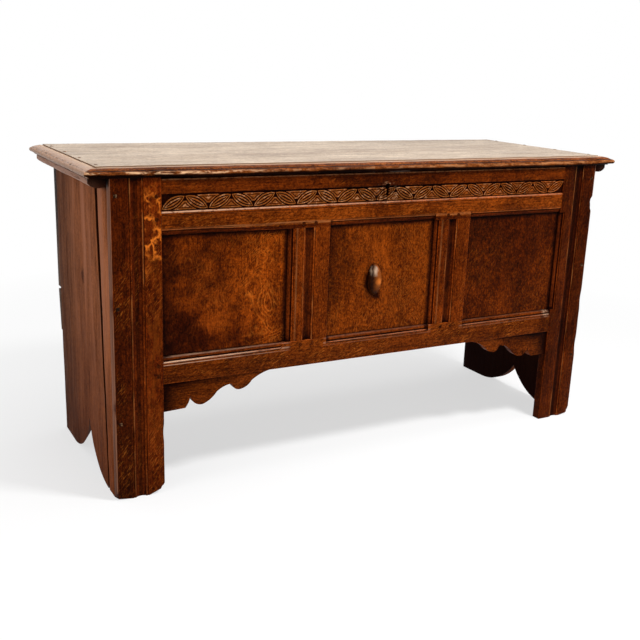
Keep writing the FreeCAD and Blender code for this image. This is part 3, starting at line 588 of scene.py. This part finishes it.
def bottom_rail_layers(f, surface):
    """The moulding's bead and arrises, paler towards the left stile, partly worn to cream and partly a
    painted highlight, and a painted glint in one corner.
    """
    broken = f.ramp(f.noise(f.mapped((0.2, 1, 1)), 150, 3, 0.6), 0.34, 0.5, 0.35, 1.0)
    left = f.ramp(f.axis("X"), -0.46, -0.22, 0.95, 0.22)
    far = f.ramp(f.axis("X"), -0.2, 0.1, 1.0, 0.7)
    # painted highlight on the bead and arrises, partly wear
    bead = between(f, f.axis("Z"), 0.2944, 0.2984, 0.0007)
    above = f.times(between(f, f.axis("Z"), 0.3055, 0.3082, 0.0008), 0.6)
    below = f.times(between(f, f.axis("Z"), 0.2893, 0.2912, 0.0005), 0.55)
    lines = f.sum(f.sum(bead, above), below)
    reach = f.size_of(f.axis("X"))
    opened = f.larger(between(f, reach, 0.236, 0.531, 0.004), f.ramp(reach, 0.148, 0.15, 1.0, 0.0))
    lines = f.times(f.times(lines, opened), f.times(left, far))
    outside = f.ramp(f.axis("Y"), front_face + 0.014, front_face + 0.018, 1.0, 0.0)
    lines = f.times(lines, outside)
    surface = f.blend(f.times(lines, broken), surface, (0.62, 0.36, 0.23))
    near = f.ramp(f.far_from((0.517, 0, 0.303), (1, 0, 1)), 0.003, 0.014, 0.85, 0.0)
    glint = f.times(near, f.ramp(f.noise(f.place, 260, 2), 0.4, 0.55))
    return f.blend(f.times(glint, outside), surface, (0.62, 0.4, 0.26))


bottom_rail = take("front_bottom_rail", "bottom_rail")
soften(bottom_rail, 0.0012, 0.1)
stations(bottom_rail, 0, 0.02)
weather(bottom_rail, 0.001, 0.09)
mark_wear_and_highlight_faces(bottom_rail, front_face + 0.007)
fit(bottom_rail, woods("bottom_rail", "X", (0.098, 0.0172, 0.0014), (2.4, 0, 0.3), 0.6,
                       more=bottom_rail_layers))

# MUNTINS
# Two short oak uprights between the panels, with the same planed channel as the stiles.
# They are tenoned into both rails and pegged.

muntin_at = 0.193
muntin_finishes = (("left", -muntin_at, (0.125, 0.0205, 0.0014), (4.1, 0, 0.2)),
                   ("right", muntin_at, (0.105, 0.0165, 0.0011), (5.3, 0, 0.9)))
for side, middle, colour, shift in muntin_finishes:
    muntin = take(f"front_{side}_muntin", f"{side}_muntin")
    soften(muntin, 0.001, 0.1)
    stations(muntin, 2, 0.018)
    weather(muntin, 0.001, 0.09)
    mark_wear_and_highlight_faces(muntin, front_face + 0.007)

    def muntin_layers(f, surface):
        surface = worn_highlit_line(f, surface, "X", "Z", middle - 0.0325, middle - 0.0285, 0.3)
        return channel_shade_and_highlight(f, surface, middle)

    fit(muntin, woods(f"{side}_muntin", "Z", colour, shift, 0.35, more=muntin_layers))

# PANELS
# Three thin boards of quarter-sawn oak, flat in front and feathered behind.
# They stand loose in the grooves of the frame, so that they can shrink without splitting.


def shaded_towards(x, z, width, deepest):
    """One corner of a panel, darker towards a point."""
    def layer(f, surface):
        uneven = f.ramp(f.noise(f.place, 12, 4, 0.6), 0.3, 0.7, -0.09, 0.09)
        ragged = f.sum(f.far_from((x, 0, z), (1, 0, 1)), uneven)
        return f.stain(f.ramp(ragged, 0.04, width, deepest, 0.0), surface, (0.34, 0.26, 0.2))
    return layer


def painted_edge_shadow(f, surface, low, high):
    """Painted shadow in the corner under the top rail and against the moulded uprights."""
    uneven = f.ramp(f.noise(f.place, 60, 3), 0.3, 0.7, -0.002, 0.002)
    under_rail = f.ramp(f.sum(f.axis("Z"), uneven), high.z - 0.021, high.z - 0.012, 0.0, 0.92)
    right = f.ramp(f.sum(f.axis("X"), uneven), high.x - 0.02, high.x - 0.012, 0.0, 0.9)
    left = f.ramp(f.sum(f.axis("X"), uneven), low.x + 0.018, low.x + 0.011, 0.0, 0.6)
    rail_and_upright_shadow = f.larger(f.larger(under_rail, right), left)
    return f.stain(rail_and_upright_shadow, surface, (0.1, 0.07, 0.05))


def left_panel_layers(f, surface):
    """Darker towards the stile and its lower corner, and paler on the right."""
    surface = shaded_towards(-0.56, 0.57, 0.24, 0.6)(f, surface)
    surface = shaded_towards(-0.48, 0.345, 0.19, 0.95)(f, surface)
    surface = shaded_towards(-0.485, 0.37, 0.14, 0.8)(f, surface)
    cloudy = f.ramp(f.noise(f.mapped((1, 1, 0.5), (4, 0, 4)), 16, 3), 0.36, 0.6, 0.2, 1.0)
    pale = f.times(f.ramp(f.axis("X"), -0.4, -0.3), cloudy)
    surface = f.stain(pale, surface, (1.6, 1.65, 1.45))
    ragged = f.sum(f.axis("X"), f.ramp(f.noise(f.place, 22, 4, 0.6), 0.3, 0.7, -0.018, 0.018))
    return f.stain(f.ramp(ragged, -0.522, -0.485, 0.7, 0.0), surface, (0.36, 0.3, 0.26))


middle_panel_layers = shaded_towards(-0.17, 0.55, 0.2, 0.6)
right_panel_layers = shaded_towards(0.42, 0.52, 0.26, 0.75)
panel_finishes = (
    ("left", (0.146, 0.024, 0.0014), (7.2, 0, 0.4), 0.3, 0.4, 1.3, left_panel_layers),
    ("middle", (0.137, 0.0235, 0.0013), (8.6, 0, 1.4), 0.28, 0.34, 1.3, middle_panel_layers),
    ("right", (0.075, 0.0112, 0.0007), (9.1, 0, 2.2), 0.2, 0.1, 1.7, right_panel_layers))
for side, colour, shift, flecks, swirl, spread, layers in panel_finishes:
    panel = take(f"front_{side}_panel", f"{side}_panel")
    stations(panel, 0, 0.02)
    stations(panel, 2, 0.02)
    low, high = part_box(f"front_{side}_panel")
    edit(panel)
    for inset in (0.0085, 0.0105, 0.0135, 0.019):
        for axis in (0, 2):
            for edge in (low[axis] + inset, high[axis] - inset):
                plane_at = [edge if a == axis else 0.0 for a in range(3)]
                plane_facing = [float(a == axis) for a in range(3)]
                bpy.ops.mesh.select_all(action="SELECT")
                bpy.ops.mesh.bisect(plane_co=plane_at, plane_no=plane_facing)
    done()
    weather(panel, 0.0016, 0.1)

    def panel_layers(f, surface):
        return painted_edge_shadow(f, layers(f, surface), low, high)

    fit(panel, woods(f"{side}_panel", "Z", colour, shift, flecks, streaks=0.25, pores=0.35, swirl=swirl,
                     bump=0.8, gloss=0.016, rough=(0.25, 0.4), spread=spread, more=panel_layers))

# BOSS
# Half of an egg of hardwood, polished darker than the oak around it.
# It was turned on a lathe and sawn in two, and lies flat on the middle panel, probably glued.

bpy.ops.object.select_all(action="DESELECT")
boss_low, boss_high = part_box("oval_boss")
boss_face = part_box("front_middle_panel")[0].y
boss_half = (0.0185, 0.024, 0.0385)
bpy.ops.mesh.primitive_uv_sphere_add(segments=48, ring_count=32, radius=1)
boss = bpy.context.object
boss.name = "boss"
boss_middle = (boss_low + boss_high) / 2
edit(boss)
bpy.ops.transform.resize(value=boss_half, center_override=(0, 0, 0))
bpy.ops.transform.translate(value=(boss_middle.x, boss_low.y + boss_half[1], boss_middle.z))
bpy.ops.mesh.bisect(plane_co=(0, boss_face + 0.0004, 0), plane_no=(0, 1, 0), use_fill=True, clear_outer=True)
done()
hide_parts("oval_boss")


def boss_layers(f, surface):
    """Dark polish, brown to the right and above and dark to the left and below as painted light and shade, a
    painted reflection of two window panes on the crown, and an orange spot, partly worn through to the wood
    and partly a painted reflection.
    """
    ragged = f.ramp(f.noise(f.place, 80, 3), 0.3, 0.7, -0.002, 0.002)
    across = f.times(f.minus(f.axis("X"), boss_middle.x), 0.88)
    across = f.sum(across, f.times(f.minus(f.axis("Y"), boss_low.y + boss_half[1]), -0.476))
    across = f.sum(across, ragged)
    rise = f.sum(f.minus(f.axis("Z"), boss_middle.z), ragged)
    # painted light and shade: brown to the right and above, the dark polish left to the left and below
    brown = f.times(f.ramp(across, -0.001, 0.009), f.ramp(rise, -0.032, -0.01))
    surface = f.blend(f.times(brown, 0.9), surface, (0.21, 0.052, 0.008))
    # painted reflection of two window panes on the crown
    left_pane = f.times(between(f, across, -0.0078, -0.0042, 0.0016), 0.6)
    panes = f.sum(left_pane, between(f, across, 0.0006, 0.0085, 0.003))
    crown = f.times(panes, between(f, rise, 0.0165, 0.029, 0.007))
    surface = f.blend(f.times(crown, 0.78), surface, (0.6, 0.42, 0.28))
    # orange spot: partly worn through to the wood, partly a painted reflection
    spot = (boss_middle.x + 0.0035, boss_low.y + 0.002, boss_middle.z - 0.0015)
    worn = f.sum(f.far_from(spot), ragged)
    return f.blend(f.ramp(worn, 0.002, 0.01, 0.9, 0.0), surface, (0.6, 0.16, 0.022))


boss_wood = oak("boss_wood", "Z", (0.02, 0.0046, 0.001), (3, 0, 3), 0, rough=(0.14, 0.24), bump=0.1,
                gloss=0.03, grime=0.5, more=boss_layers)
fit(boss, (boss_wood, boss_wood))

# BRACKETS
# Two fretted oak boards under the bottom rail, sawn to a row of cusps.
# Each butts against its stile, a little behind the face. How it is fixed can't be seen.

for side, shift in (("left", (1.1, 0, 3.2)), ("right", (2.1, 0, 4.2))):
    bracket = take(f"front_{side}_bracket", f"{side}_bracket")
    soften(bracket, 0.0012, 0.004)
    fit(bracket, woods(f"{side}_bracket", "X", (0.11, 0.02, 0.0017), shift, 0.2))

# PEGS
# Shaved oak pegs, driven through the tenons of the front frame to hold its joints.
# Only their end grain shows, gone nearly black with wax.

peg_wood = woods("peg", "Y", (0.05, 0.009, 0.001), flecks=0)
pegs = take("frame_pegs", "pegs")
fit(pegs, peg_wood)

# END BOARDS
# Upright oak planks, a narrow and a wide one on each end, drier and paler than the front.
# The stiles are nailed to the narrow ones and the back to the wide ones, which are sawn to a pointed arch.

end_colour = (0.262, 0.083, 0.028)
end_height = 0.6805
gap_top = -0.1372
gap_slant = 0.034
arch_front, arch_back, arch_height = -0.0215, 0.1245, 0.1135
arch_splay = 0.038


def end_layers(f, surface):
    """Broad bands of tone, paler above, darker towards the bottom, and the inner faces of the feet painted
    black for the shade under the chest.
    """
    broad = f.noise(f.mapped((1, 1, 0.08), (0, 0.7, 0)), 20, 3, 0.55, 0.3)
    surface = f.stain(f.ramp(broad, 0.42, 0.66, 0.0, 0.45), surface, (0.52, 0.46, 0.38))
    pale = f.times(f.ramp(broad, 0.5, 0.36), f.ramp(f.axis("Z"), 0.25, 0.6, 0.25, 0.8))
    surface = f.blend(pale, surface, (0.33, 0.128, 0.066))
    surface = f.stain(f.ramp(f.axis("Y"), 0.0, 0.1, 1.0, 0.0), surface, (1.08, 1.05, 1.03))
    surface = f.stain(f.ramp(f.axis("Y"), 0.03, 0.2, 0.0, 0.9), surface, (0.42, 0.38, 0.3))
    toward_floor = f.sum(f.axis("Z"), f.ramp(f.noise(f.mapped((1, 1, 0.3)), 25, 3), 0.3, 0.7, -0.02, 0.02))
    surface = f.stain(f.ramp(toward_floor, 0.06, 0.45, 0.95, 0.0), surface, (0.5, 0.36, 0.2))
    # painted shade: the inner faces of the feet, under the chest, are made near black
    reach = f.size_of(f.axis("X"))
    inner = f.times(f.ramp(reach, 0.6165, 0.619, 1.0, 0.0), f.ramp(f.axis("Z"), 0.255, 0.262, 1.0, 0.0))
    surface = f.blend(f.times(inner, 0.95), surface, (0.008, 0.001, 0.0005))
    knot = f.far_from((-0.635, -0.004, 0.445 * 0.55), (1, 1, 0.55))
    ring = f.sum(knot, f.ramp(f.noise(f.place, 70, 3), 0.3, 0.7, -0.004, 0.004))
    surface = f.stain(f.ramp(ring, 0.004, 0.014, 0.75, 0.0), surface, (0.16, 0.1, 0.07))
    shake = f.noise(f.mapped((1, 1, 0.02), (0, 0.4, 0)), 75, 3, 0.6, 0.2)
    return f.stain(f.ramp(shake, 0.62, 0.72, 0.0, 0.35), surface, (0.25, 0.18, 0.13))


for side, shift in (("left", (0.2, 5, 0.3)), ("right", (0.9, 6, 0.8))):
    for width in ("narrow", "wide"):
        plank = take(f"{side}_end_{width}_board", f"{side}_end_{width}")
        if width == "wide":
            for point in plank.data.vertices:
                gap_edge = gap_top - gap_slant * (1 - point.co.z / end_height)
                in_arch = arch_front < point.co.y < arch_back and point.co.z < arch_height
                if point.co.y < gap_edge + 0.012:
                    point.co.y += 0.003 + 0.005 * point.co.z / end_height
                elif side == "left" and point.co.x > -0.62 and in_arch:
                    point.co.y += arch_splay
        soften(plank, 0.0012, 0.05)
        stations(plank, 2, 0.015)
        stations(plank, 1, 0.03)
        weather(plank, 0.002, 0.1)
        paler = 1.22 if width == "narrow" else 1.0
        colour = tuple(c * paler for c in end_colour)
        place = (shift[0], shift[1] + len(width), shift[2])
        wood = oak(f"{side}_end_{width}_oak", "Z", colour, place, 0, rough=(0.5, 0.7), gloss=0.012,
                   spread=0.45, streaks=0.55, pits=0.35, more=end_layers)
        fit(plank, (wood, wood))

# BACK AND FLOOR
# Rough oak boards, never polished: two at the back with an open joint, and three for the floor.
# The back is nailed to the ends, and the floor boards are housed in them.

for node in ("back_upper_board", "back_lower_board", "floor_front_board", "floor_middle_board",
             "floor_rear_board"):
    plank = take(node, node.replace("_board", "_plank"))
    soften(plank, 0.0014, 0.1)
    stations(plank, 0, 0.04)
    weather(plank, 0.0008, 0.12)
    shift = (len(node) * 1.7, 0, 0)
    wood = oak(plank.name + "_oak", "X", (0.1, 0.05, 0.028), shift, 0, rough=(0.6, 0.8), gloss=0.1,
               spread=0.6)
    fit(plank, (wood, wood))

# LID
# Two wide oak planks with a moulding planed round the front and ends, pale on top, partly scrubbed and partly
# a painted sheen.
# A rounded oak cleat under each end keeps them flat, nailed down through the planks.

lid_half_length = 0.687
lid_half_depth = 0.2472
lid_under = 0.684
lid_thickness = 0.022
nose_depth = 0.0119
moulding_depth = 0.0312
nose_height = 0.0107
moulded_height = 0.0215


def lid_top_layers(f, surface):
    """Thin dark shakes along the pale top, which is darker towards the right."""
    line = f.noise(f.mapped((0.012, 1, 1), (0.3, 2.2, 0)), 60, 4, 0.6, 0.15)
    surface = f.blend(f.ramp(line, 0.54, 0.66, 0.0, 0.6), surface, (0.32, 0.22, 0.15))
    fine = f.noise(f.mapped((0.03, 1, 1), (0.9, 1.2, 0)), 260, 3, 0.6, 0.1)
    surface = f.blend(f.ramp(fine, 0.5, 0.66, 0.0, 0.5), surface, (0.36, 0.27, 0.2))
    broad = f.noise(f.mapped((0.12, 1, 1), (1.3, 0.2, 0)), 11, 3, 0.5, 0.2)
    surface = f.stain(f.ramp(broad, 0.35, 0.65, 0.0, 0.45), surface, (0.62, 0.54, 0.47))
    return f.stain(f.ramp(f.axis("X"), -0.4, 0.5, 0.0, 1.0), surface, (0.8, 0.8, 0.8))


def dull_end(f):
    """One on the moulded ends and nothing along the front."""
    from_front = f.sum(f.axis("Y"), lid_half_depth)
    from_end = f.minus(lid_half_length, f.size_of(f.axis("X")))
    outer = f.ramp(from_end, 0.034, 0.036, 1.0, 0.0)
    return f.times(f.ramp(f.minus(from_front, from_end), -0.002, 0.004), outer)


def lid_edge_layers(f, surface):
    """The flat round over the nose: dull and pale on the ends, partly drier wood and partly a painted sheen;
    a painted highlight on its top step, and painted shade low down and in its dark quirk, which on the ends
    is a broken line.
    """
    height = f.held("edge_height")
    dull = dull_end(f)
    # pale on the ends: partly drier wood, partly a painted sheen
    surface = f.blend(f.times(dull, 0.88), surface, (0.43, 0.27, 0.185))
    # painted highlight on the top step of the moulding
    step = f.times(f.ramp(height, 0.0188, 0.0203), 0.85)
    surface = f.blend(step, surface, (0.5, 0.32, 0.2))
    # painted shade low on the moulding, above the gap under the lid
    surface = f.stain(f.ramp(height, 0.0015, 0.0055, 0.9, 0.0), surface, (0.1, 0.06, 0.04))
    # painted shade in the quirk, broken into marks on the ends
    quirk = f.times(between(f, height, 0.0102, 0.0119, 0.0003), f.ramp(dull, 0.0, 1.0, 0.92, 0.12))
    surface = f.stain(quirk, surface, (0.06, 0.03, 0.02))
    worn = f.ramp(f.noise(f.place, 150, 3, 0.6), 0.53, 0.6)
    mark = f.times(between(f, height, 0.0098, 0.0128, 0.0005), worn)
    return f.stain(f.times(f.times(mark, dull), 0.85), surface, (0.1, 0.06, 0.045))


def lid_nose_layers(f, surface):
    """The round nose: painted highlights along its crest, cream on the left and warmer to the right, partly
    wax worn pale; pale on the ends; painted shade underneath.
    """
    height = f.held("edge_height")
    dull = dull_end(f)
    # painted highlight along the crest, partly wax worn pale
    wax_glint = f.noise(f.mapped((0.25, 1, 1), (4, 2, 0)), 110, 4, 0.6, 0.6)
    left = f.ramp(f.axis("X"), -0.5, -0.25, 0.95, 0.16)
    crest = between(f, height, 0.0056, 0.0092, 0.0012)
    surface = f.blend(f.times(f.times(f.ramp(wax_glint, 0.49, 0.58), crest), left), surface, (0.8, 0.5, 0.28))
    warm = f.times(f.ramp(f.axis("X"), -0.05, 0.3, 0.25, 0.75), f.times(f.ramp(wax_glint, 0.4, 0.6), crest))
    surface = f.blend(warm, surface, (0.32, 0.115, 0.035))
    # pale on the ends: partly drier wood, partly a painted sheen
    surface = f.blend(f.times(dull, 0.9), surface, (0.4, 0.235, 0.155))
    # painted shade under the nose, less on the ends
    left_line = f.ramp(f.axis("X"), -0.5, -0.25, 0.001, 0.0025)
    right_line = f.ramp(f.axis("X"), 0.1, 0.3, 0.0, -0.002)
    above_line = f.minus(height, f.sum(left_line, right_line))
    under = f.times(f.ramp(above_line, 0.002, 0.0045, 0.98, 0.0), f.ramp(dull, 0.0, 1.0, 1.0, 0.25))
    return f.stain(under, surface, (0.04, 0.02, 0.015))


def new_edge_height(height, lift, worn):
    """The moulding as it is on this lid: a thick nose under a flat round, planed up below by the ends."""
    knots = [(0.0, lift), (0.0105, 0.0134 + 0.22 * lift + 0.0008 * worn),
             (0.0115, 0.0144 + 0.22 * lift + 0.0014 * worn), (0.0194, 0.0194)]
    for (low, low_now), (high, high_now) in zip(knots, knots[1:]):
        if height <= high:
            return low_now + (high_now - low_now) * (height - low) / (high - low)
    return height


knocks = random.Random(12)
nose_chips = [(-0.56, 0.02, 0.004), (-0.2, 0.03, 0.003), (0.2, 0.02, 0.003), (0.27, 0.018, 0.004),
              (0.31, 0.022, 0.003), (0.45, 0.02, 0.004), (0.6, 0.03, 0.003)]
for _ in range(60):
    at, radius = knocks.uniform(-0.68, 0.68), knocks.uniform(0.008, 0.02)
    nose_chips.append((at, radius, knocks.uniform(0.0008, 0.0022)))
# the top's pale colour: partly scrubbed wood, partly a painted sheen
lid_wood = {"colour": (0.525, 0.405, 0.29), "rough": (0.35, 0.55), "gloss": 0.3, "spread": 0.55, "grime": 0.5}
top_finish, edge_finish, nose_finish, under_finish = range(4)
for which in ("front", "rear"):
    plank = take(f"lid_{which}_board", f"lid_{which}_plank")
    stations(plank, 0, 0.006)
    stations(plank, 1, 0.009)
    edit(plank)
    bpy.ops.mesh.bisect(plane_co=(0, -0.2352, 0), plane_no=(0, 1, 0))
    done()
    edge_heights = []
    for point in plank.data.vertices:
        height = min(lid_thickness, max(0.0, point.co.z - lid_under))
        edge_heights.append(height)
        from_front, from_end = point.co.y + lid_half_depth, lid_half_length - abs(point.co.x)
        inset = min(from_front, from_end)
        if inset < nose_depth or inset < moulding_depth and height > 0.0005:
            left_lift = min(1.0, max(0.0, (-0.42 - point.co.x) / 0.24))
            right_lift = min(1.0, max(0.0, (point.co.x - 0.56) / 0.12))
            lift = 0.006 * left_lift + 0.0035 * right_lift
            worn = min(1.0, max(0.0, (from_front - from_end) / 0.02)) if point.co.x < 0 else 0.0
            point.co.z = lid_under + new_edge_height(height, lift, worn)
    plank.data.attributes.new("edge_height", "FLOAT", "POINT").data.foreach_set("value", edge_heights)
    weather(plank, 0.0014, 0.045)
    for at in (0.19, 0.135, 0.105, 0.09, 0.062, 0.048, 0.02, -0.012, -0.07, -0.12):
        dent(plank, (-0.681, at, 0.7), knocks.uniform(0.007, 0.011), (0.001, 0, -0.0022))
    if which == "front":
        for at, radius, depth in nose_chips:
            dent(plank, (at, -0.247, knocks.uniform(0.688, 0.698)), radius, (0, depth, -depth * 0.4))
    top = oak(f"lid_{which}_oak", "X", shift=(0.3, 1.2, 0), flecks=0, more=lid_top_layers, **lid_wood)
    edge = oak(f"lid_{which}_edge_oak", "X", (0.16, 0.04, 0.007), (2.3, 1.2, 0), 0, rough=(0.2, 0.4),
               gloss=0.03, bump=0.4, grime=0.6, more=lid_edge_layers)
    nose = oak(f"lid_{which}_nose_oak", "X", (0.13, 0.032, 0.006), (3.3, 1.2, 0), 0, rough=(0.2, 0.35),
               gloss=0.012, bump=0.3, more=lid_nose_layers)
    under = oak(f"lid_{which}_under_oak", "X", (0.13, 0.062, 0.033), (5.3, 0.4, 0), 0, rough=(0.55, 0.75),
                gloss=0.03, spread=0.6, bump=0.5)
    fit(plank, (top, edge), body="lid")
    plank.data.materials.append(nose)
    plank.data.materials.append(under)
    for face in plank.data.polygons:
        mean = sum(edge_heights[point] for point in face.vertices) / len(face.vertices)
        inset = min(face.center.y + lid_half_depth, lid_half_length - abs(face.center.x))
        if face.normal.y > 0.7 or face.normal.z < -0.7 and inset > nose_depth:
            face.material_index = under_finish
        elif inset < nose_depth and mean < nose_height:
            face.material_index = nose_finish
        else:
            moulded = mean < moulded_height or face.normal.z < 0.7
            face.material_index = edge_finish if moulded else top_finish


def cleat_layers(f, surface):
    """Pinkish and dry on its outer round, like the end of the lid, and black at its front end."""
    reach = f.size_of(f.axis("X"))
    surface = f.blend(f.ramp(reach, 0.648, 0.664, 0.0, 0.85), surface, (0.36, 0.185, 0.12))
    crack = f.noise(f.mapped((1, 0.1, 1), (0, 0, 2)), 120, 3, 0.6, 0.8)
    surface = f.stain(f.ramp(crack, 0.58, 0.64, 0.0, 0.7), surface, (0.2, 0.13, 0.1))
    return f.blend(f.ramp(f.axis("Y"), -0.2265, -0.2205, 0.96, 0.0), surface, (0.02, 0.0035, 0.0008))


cleat_round = 0.649
cleat_round_width = 0.026
cleat_drop = 0.006
for side in ("left", "right"):
    cleat = take(f"lid_{side}_cleat", f"{side}_cleat")
    for point in cleat.data.vertices:
        if point.co.z < 0.6835 and abs(point.co.x) > cleat_round:
            point.co.z -= cleat_drop * (abs(point.co.x) - cleat_round) / cleat_round_width
    soften(cleat, 0.0015, 0.1)
    stations(cleat, 1, 0.015)
    weather(cleat, 0.0012, 0.06)
    cleat_woods = woods(f"{side}_cleat", "Y", (0.12, 0.045, 0.022), (1, 1, 1), 0, more=cleat_layers)
    fit(cleat, cleat_woods, body="lid")

# PAINTED SHADE
# Shade is painted into the corners and hollows of the whole chest.
# Every corner of a face holds how shut in it is, and the oak reads that.

points, sides = [], []
for piece in dressed:
    first = len(points)
    points += [point.co.copy() for point in piece.data.vertices]
    sides += [[first + corner for corner in face.vertices] for face in piece.data.polygons]
standing = BVHTree.FromPolygons(points, sides)
look_count = 14
even_turn = 2.39996
looks = []
for number in range(look_count):
    lean = math.sqrt((number + 0.5) / look_count) * 0.97
    turn = number * even_turn
    looks.append(Vector((lean * math.cos(turn), lean * math.sin(turn), math.sqrt(1 - lean * lean))))
framed = [piece for piece in dressed if piece.name.split("_")[-1] in ("stile", "rail", "muntin")]
for piece in dressed:
    far = 0.012 if piece is top_rail else 0.045 if piece.name.endswith("panel") else 0.03
    known, shut_in = {}, []
    for corner, facing in zip(piece.data.loops, piece.data.corner_normals):
        key = (corner.vertex_index, *(round(part, 1) for part in facing.vector))
        if key not in known:
            turned = facing.vector.to_track_quat("Z", "Y").to_matrix()
            start = piece.data.vertices[corner.vertex_index].co + facing.vector * 0.0004
            total = 0.0
            for look in looks:
                away = standing.ray_cast(start, turned @ look, far)[3]
                if away is not None:
                    total += 1 - away / far
            known[key] = total / len(looks)
            # painted shade: the edge faces in the open joint at the front of each end are made fully dark
            if "_end_" in piece.name and abs(facing.vector.y) > 0.7 and -0.19 < start.y < -0.11:
                known[key] = 1.0
            if piece is top_rail and start.z > 0.677:
                known[key] *= 0.25
            # painted shade: the deeper parts of the frame's mouldings are made darker
            if piece in framed and facing.vector.y < -0.15:
                sunk = start.y - front_face
                known[key] += 0.27 * min(1.0, max(0.0, (sunk - 0.0012) / 0.0014))
        shut_in.append(known[key])
    piece.data.attributes.new("grime", "FLOAT", "CORNER").data.foreach_set("value", shut_in)

# IRON
# Strap hinges, lock and nails of wrought iron, hammered at the forge and dark with a little rust.
# The straps and plates are nailed to the wood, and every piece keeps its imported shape.


def forged(name, tint, metal, gloss, worn_glint=None):
    """Hammered iron in scale and rusty patches, with paler patches here and there, partly worn iron and
    partly painted glints.
    """
    f = Finish(name)
    spot = f.noise(f.place, 60, 5, 0.7)
    scale = tuple(0.45 * part for part in tint)
    rust = (tint[0] * 2.0, tint[1] * 1.05, tint[2] * 0.55)
    skin = f.colours(spot, [(0.35, scale), (0.55, tint), (0.72, rust)])
    # paler patches: partly worn iron, partly painted glints
    if worn_glint:
        skin = f.blend(f.ramp(f.noise(f.place, 210, 2), 0.55, 0.6), skin, worn_glint)
    f.join(skin, f.shader.inputs["Base Color"])
    f.shader.inputs["Metallic"].default_value = metal
    f.shader.inputs["Specular IOR Level"].default_value = gloss
    f.join(f.ramp(spot, 0.3, 0.7, 0.4, 0.75), f.shader.inputs["Roughness"])
    f.bumps(f.noise(f.place, 220, 4, 0.7), 0.5, 0.0006)
    return f.material


iron = forged("forged_iron", (0.05, 0.043, 0.038), 0.6, 0.2)
worn_iron = forged("worn_iron", (0.2, 0.14, 0.115), 0.3, 0.12)
sunk_iron = forged("sunk_iron", (0.02, 0.008, 0.004), 0.0, 0.01, (0.13, 0.07, 0.035))
scrubbed_iron = forged("scrubbed_iron", (0.2, 0.135, 0.095), 0.0, 0.05)
metals = {"lid_catch_plate": worn_iron, "cleat_nails": scrubbed_iron, "stile_nails": sunk_iron}
for name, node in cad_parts.items():
    if "nails" in name or "hinge" in name or "lock" in name or name == "lid_catch_plate":
        node.material_slots[0].material = metals.get(name, iron)

# FLOOR, LIGHT AND CAMERA
# A white paper floor that keeps the shadow, three soft lamps, and a camera where the photograph's stood.
# None of it is part of the chest.

bpy.ops.object.select_all(action="DESELECT")
bpy.ops.mesh.primitive_plane_add(size=40, location=(0, 0, 0))
floor = bpy.context.object
floor.name = "studio_floor"
paper = Finish("studio_paper")
paper.join((0.93, 0.93, 0.93, 1), paper.shader.inputs["Base Color"])
paper.join(1.0, paper.shader.inputs["Roughness"])
paper.join(0.0, paper.shader.inputs["Specular IOR Level"])
away = paper.node("ShaderNodeVectorMath", {0: paper.place}, operation="LENGTH").outputs["Value"]
rays = paper.node("ShaderNodeLightPath")
looked_at = paper.larger(rays.outputs["Is Camera Ray"], rays.outputs["Is Glossy Ray"])
looked_at = paper.larger(looked_at, rays.outputs["Is Transmission Ray"])
share = paper.times(paper.ramp(away, 0.6, 2.0, 0.62, 1.0), looked_at)
glow = paper.node("ShaderNodeEmission").outputs[0]
mix = paper.node("ShaderNodeMixShader", {0: share, 1: paper.shader.outputs[0], 2: glow})
paper.join(mix.outputs[0], paper.tree.nodes["Material Output"].inputs["Surface"])
floor.data.materials.append(paper.material)

world = bpy.data.worlds.new("studio")
bpy.context.scene.world = world
world.use_nodes = True
tree = world.node_tree
backdrop = tree.nodes["Background"]
backdrop.inputs["Color"].default_value = (1, 1, 1, 1)
path = tree.nodes.new("ShaderNodeLightPath")
seen = path.outputs["Is Camera Ray"]
for kind in ("Is Glossy Ray", "Is Transmission Ray"):
    either = tree.nodes.new("ShaderNodeMath")
    either.operation = "MAXIMUM"
    tree.links.new(seen, either.inputs[0])
    tree.links.new(path.outputs[kind], either.inputs[1])
    seen = either.outputs[0]
room_light = 0.34
level = tree.nodes.new("ShaderNodeMapRange")
level.inputs["To Min"].default_value = room_light
level.inputs["To Max"].default_value = 1.0
tree.links.new(seen, level.inputs["Value"])
tree.links.new(level.outputs["Result"], backdrop.inputs["Strength"])


def softbox(name, place, aim, size, watts):
    lamp = bpy.data.lights.new(name, "AREA")
    lamp.shape = "RECTANGLE"
    lamp.size, lamp.size_y = size
    lamp.energy = watts
    holder = bpy.data.objects.new(name, lamp)
    bpy.context.scene.collection.objects.link(holder)
    holder.location = place
    holder.rotation_euler = (Vector(aim) - Vector(place)).to_track_quat("-Z", "Y").to_euler()


softbox("key", (0.7, -1.3, 2.2), (0, 0, 0.45), (0.45, 0.35), 56)
softbox("overhead", (0.0, 0.2, 2.6), (0, 0, 0.4), (3.2, 2.0), 25)
softbox("left", (-2.8, -1.0, 1.4), (0, 0, 0.4), (1.8, 1.8), 17)

camera = bpy.data.objects.new("photo_camera", bpy.data.cameras.new("photo_camera"))
bpy.context.scene.collection.objects.link(camera)
right = Vector((0.8788, -0.4759, 0.0353))
up = Vector((0.0999, 0.2559, 0.9615))
back = -Vector((0.4666, 0.8414, -0.2725))
looking = Matrix((right, up, back)).transposed().to_4x4()
camera.matrix_world = Matrix.Translation((-1.1292, -1.98355, 0.9181)) @ looking
camera.data.lens = 51.58
camera.data.sensor_width = 36
bpy.context.scene.camera = camera
bpy.context.scene.view_settings.view_transform = "Standard"
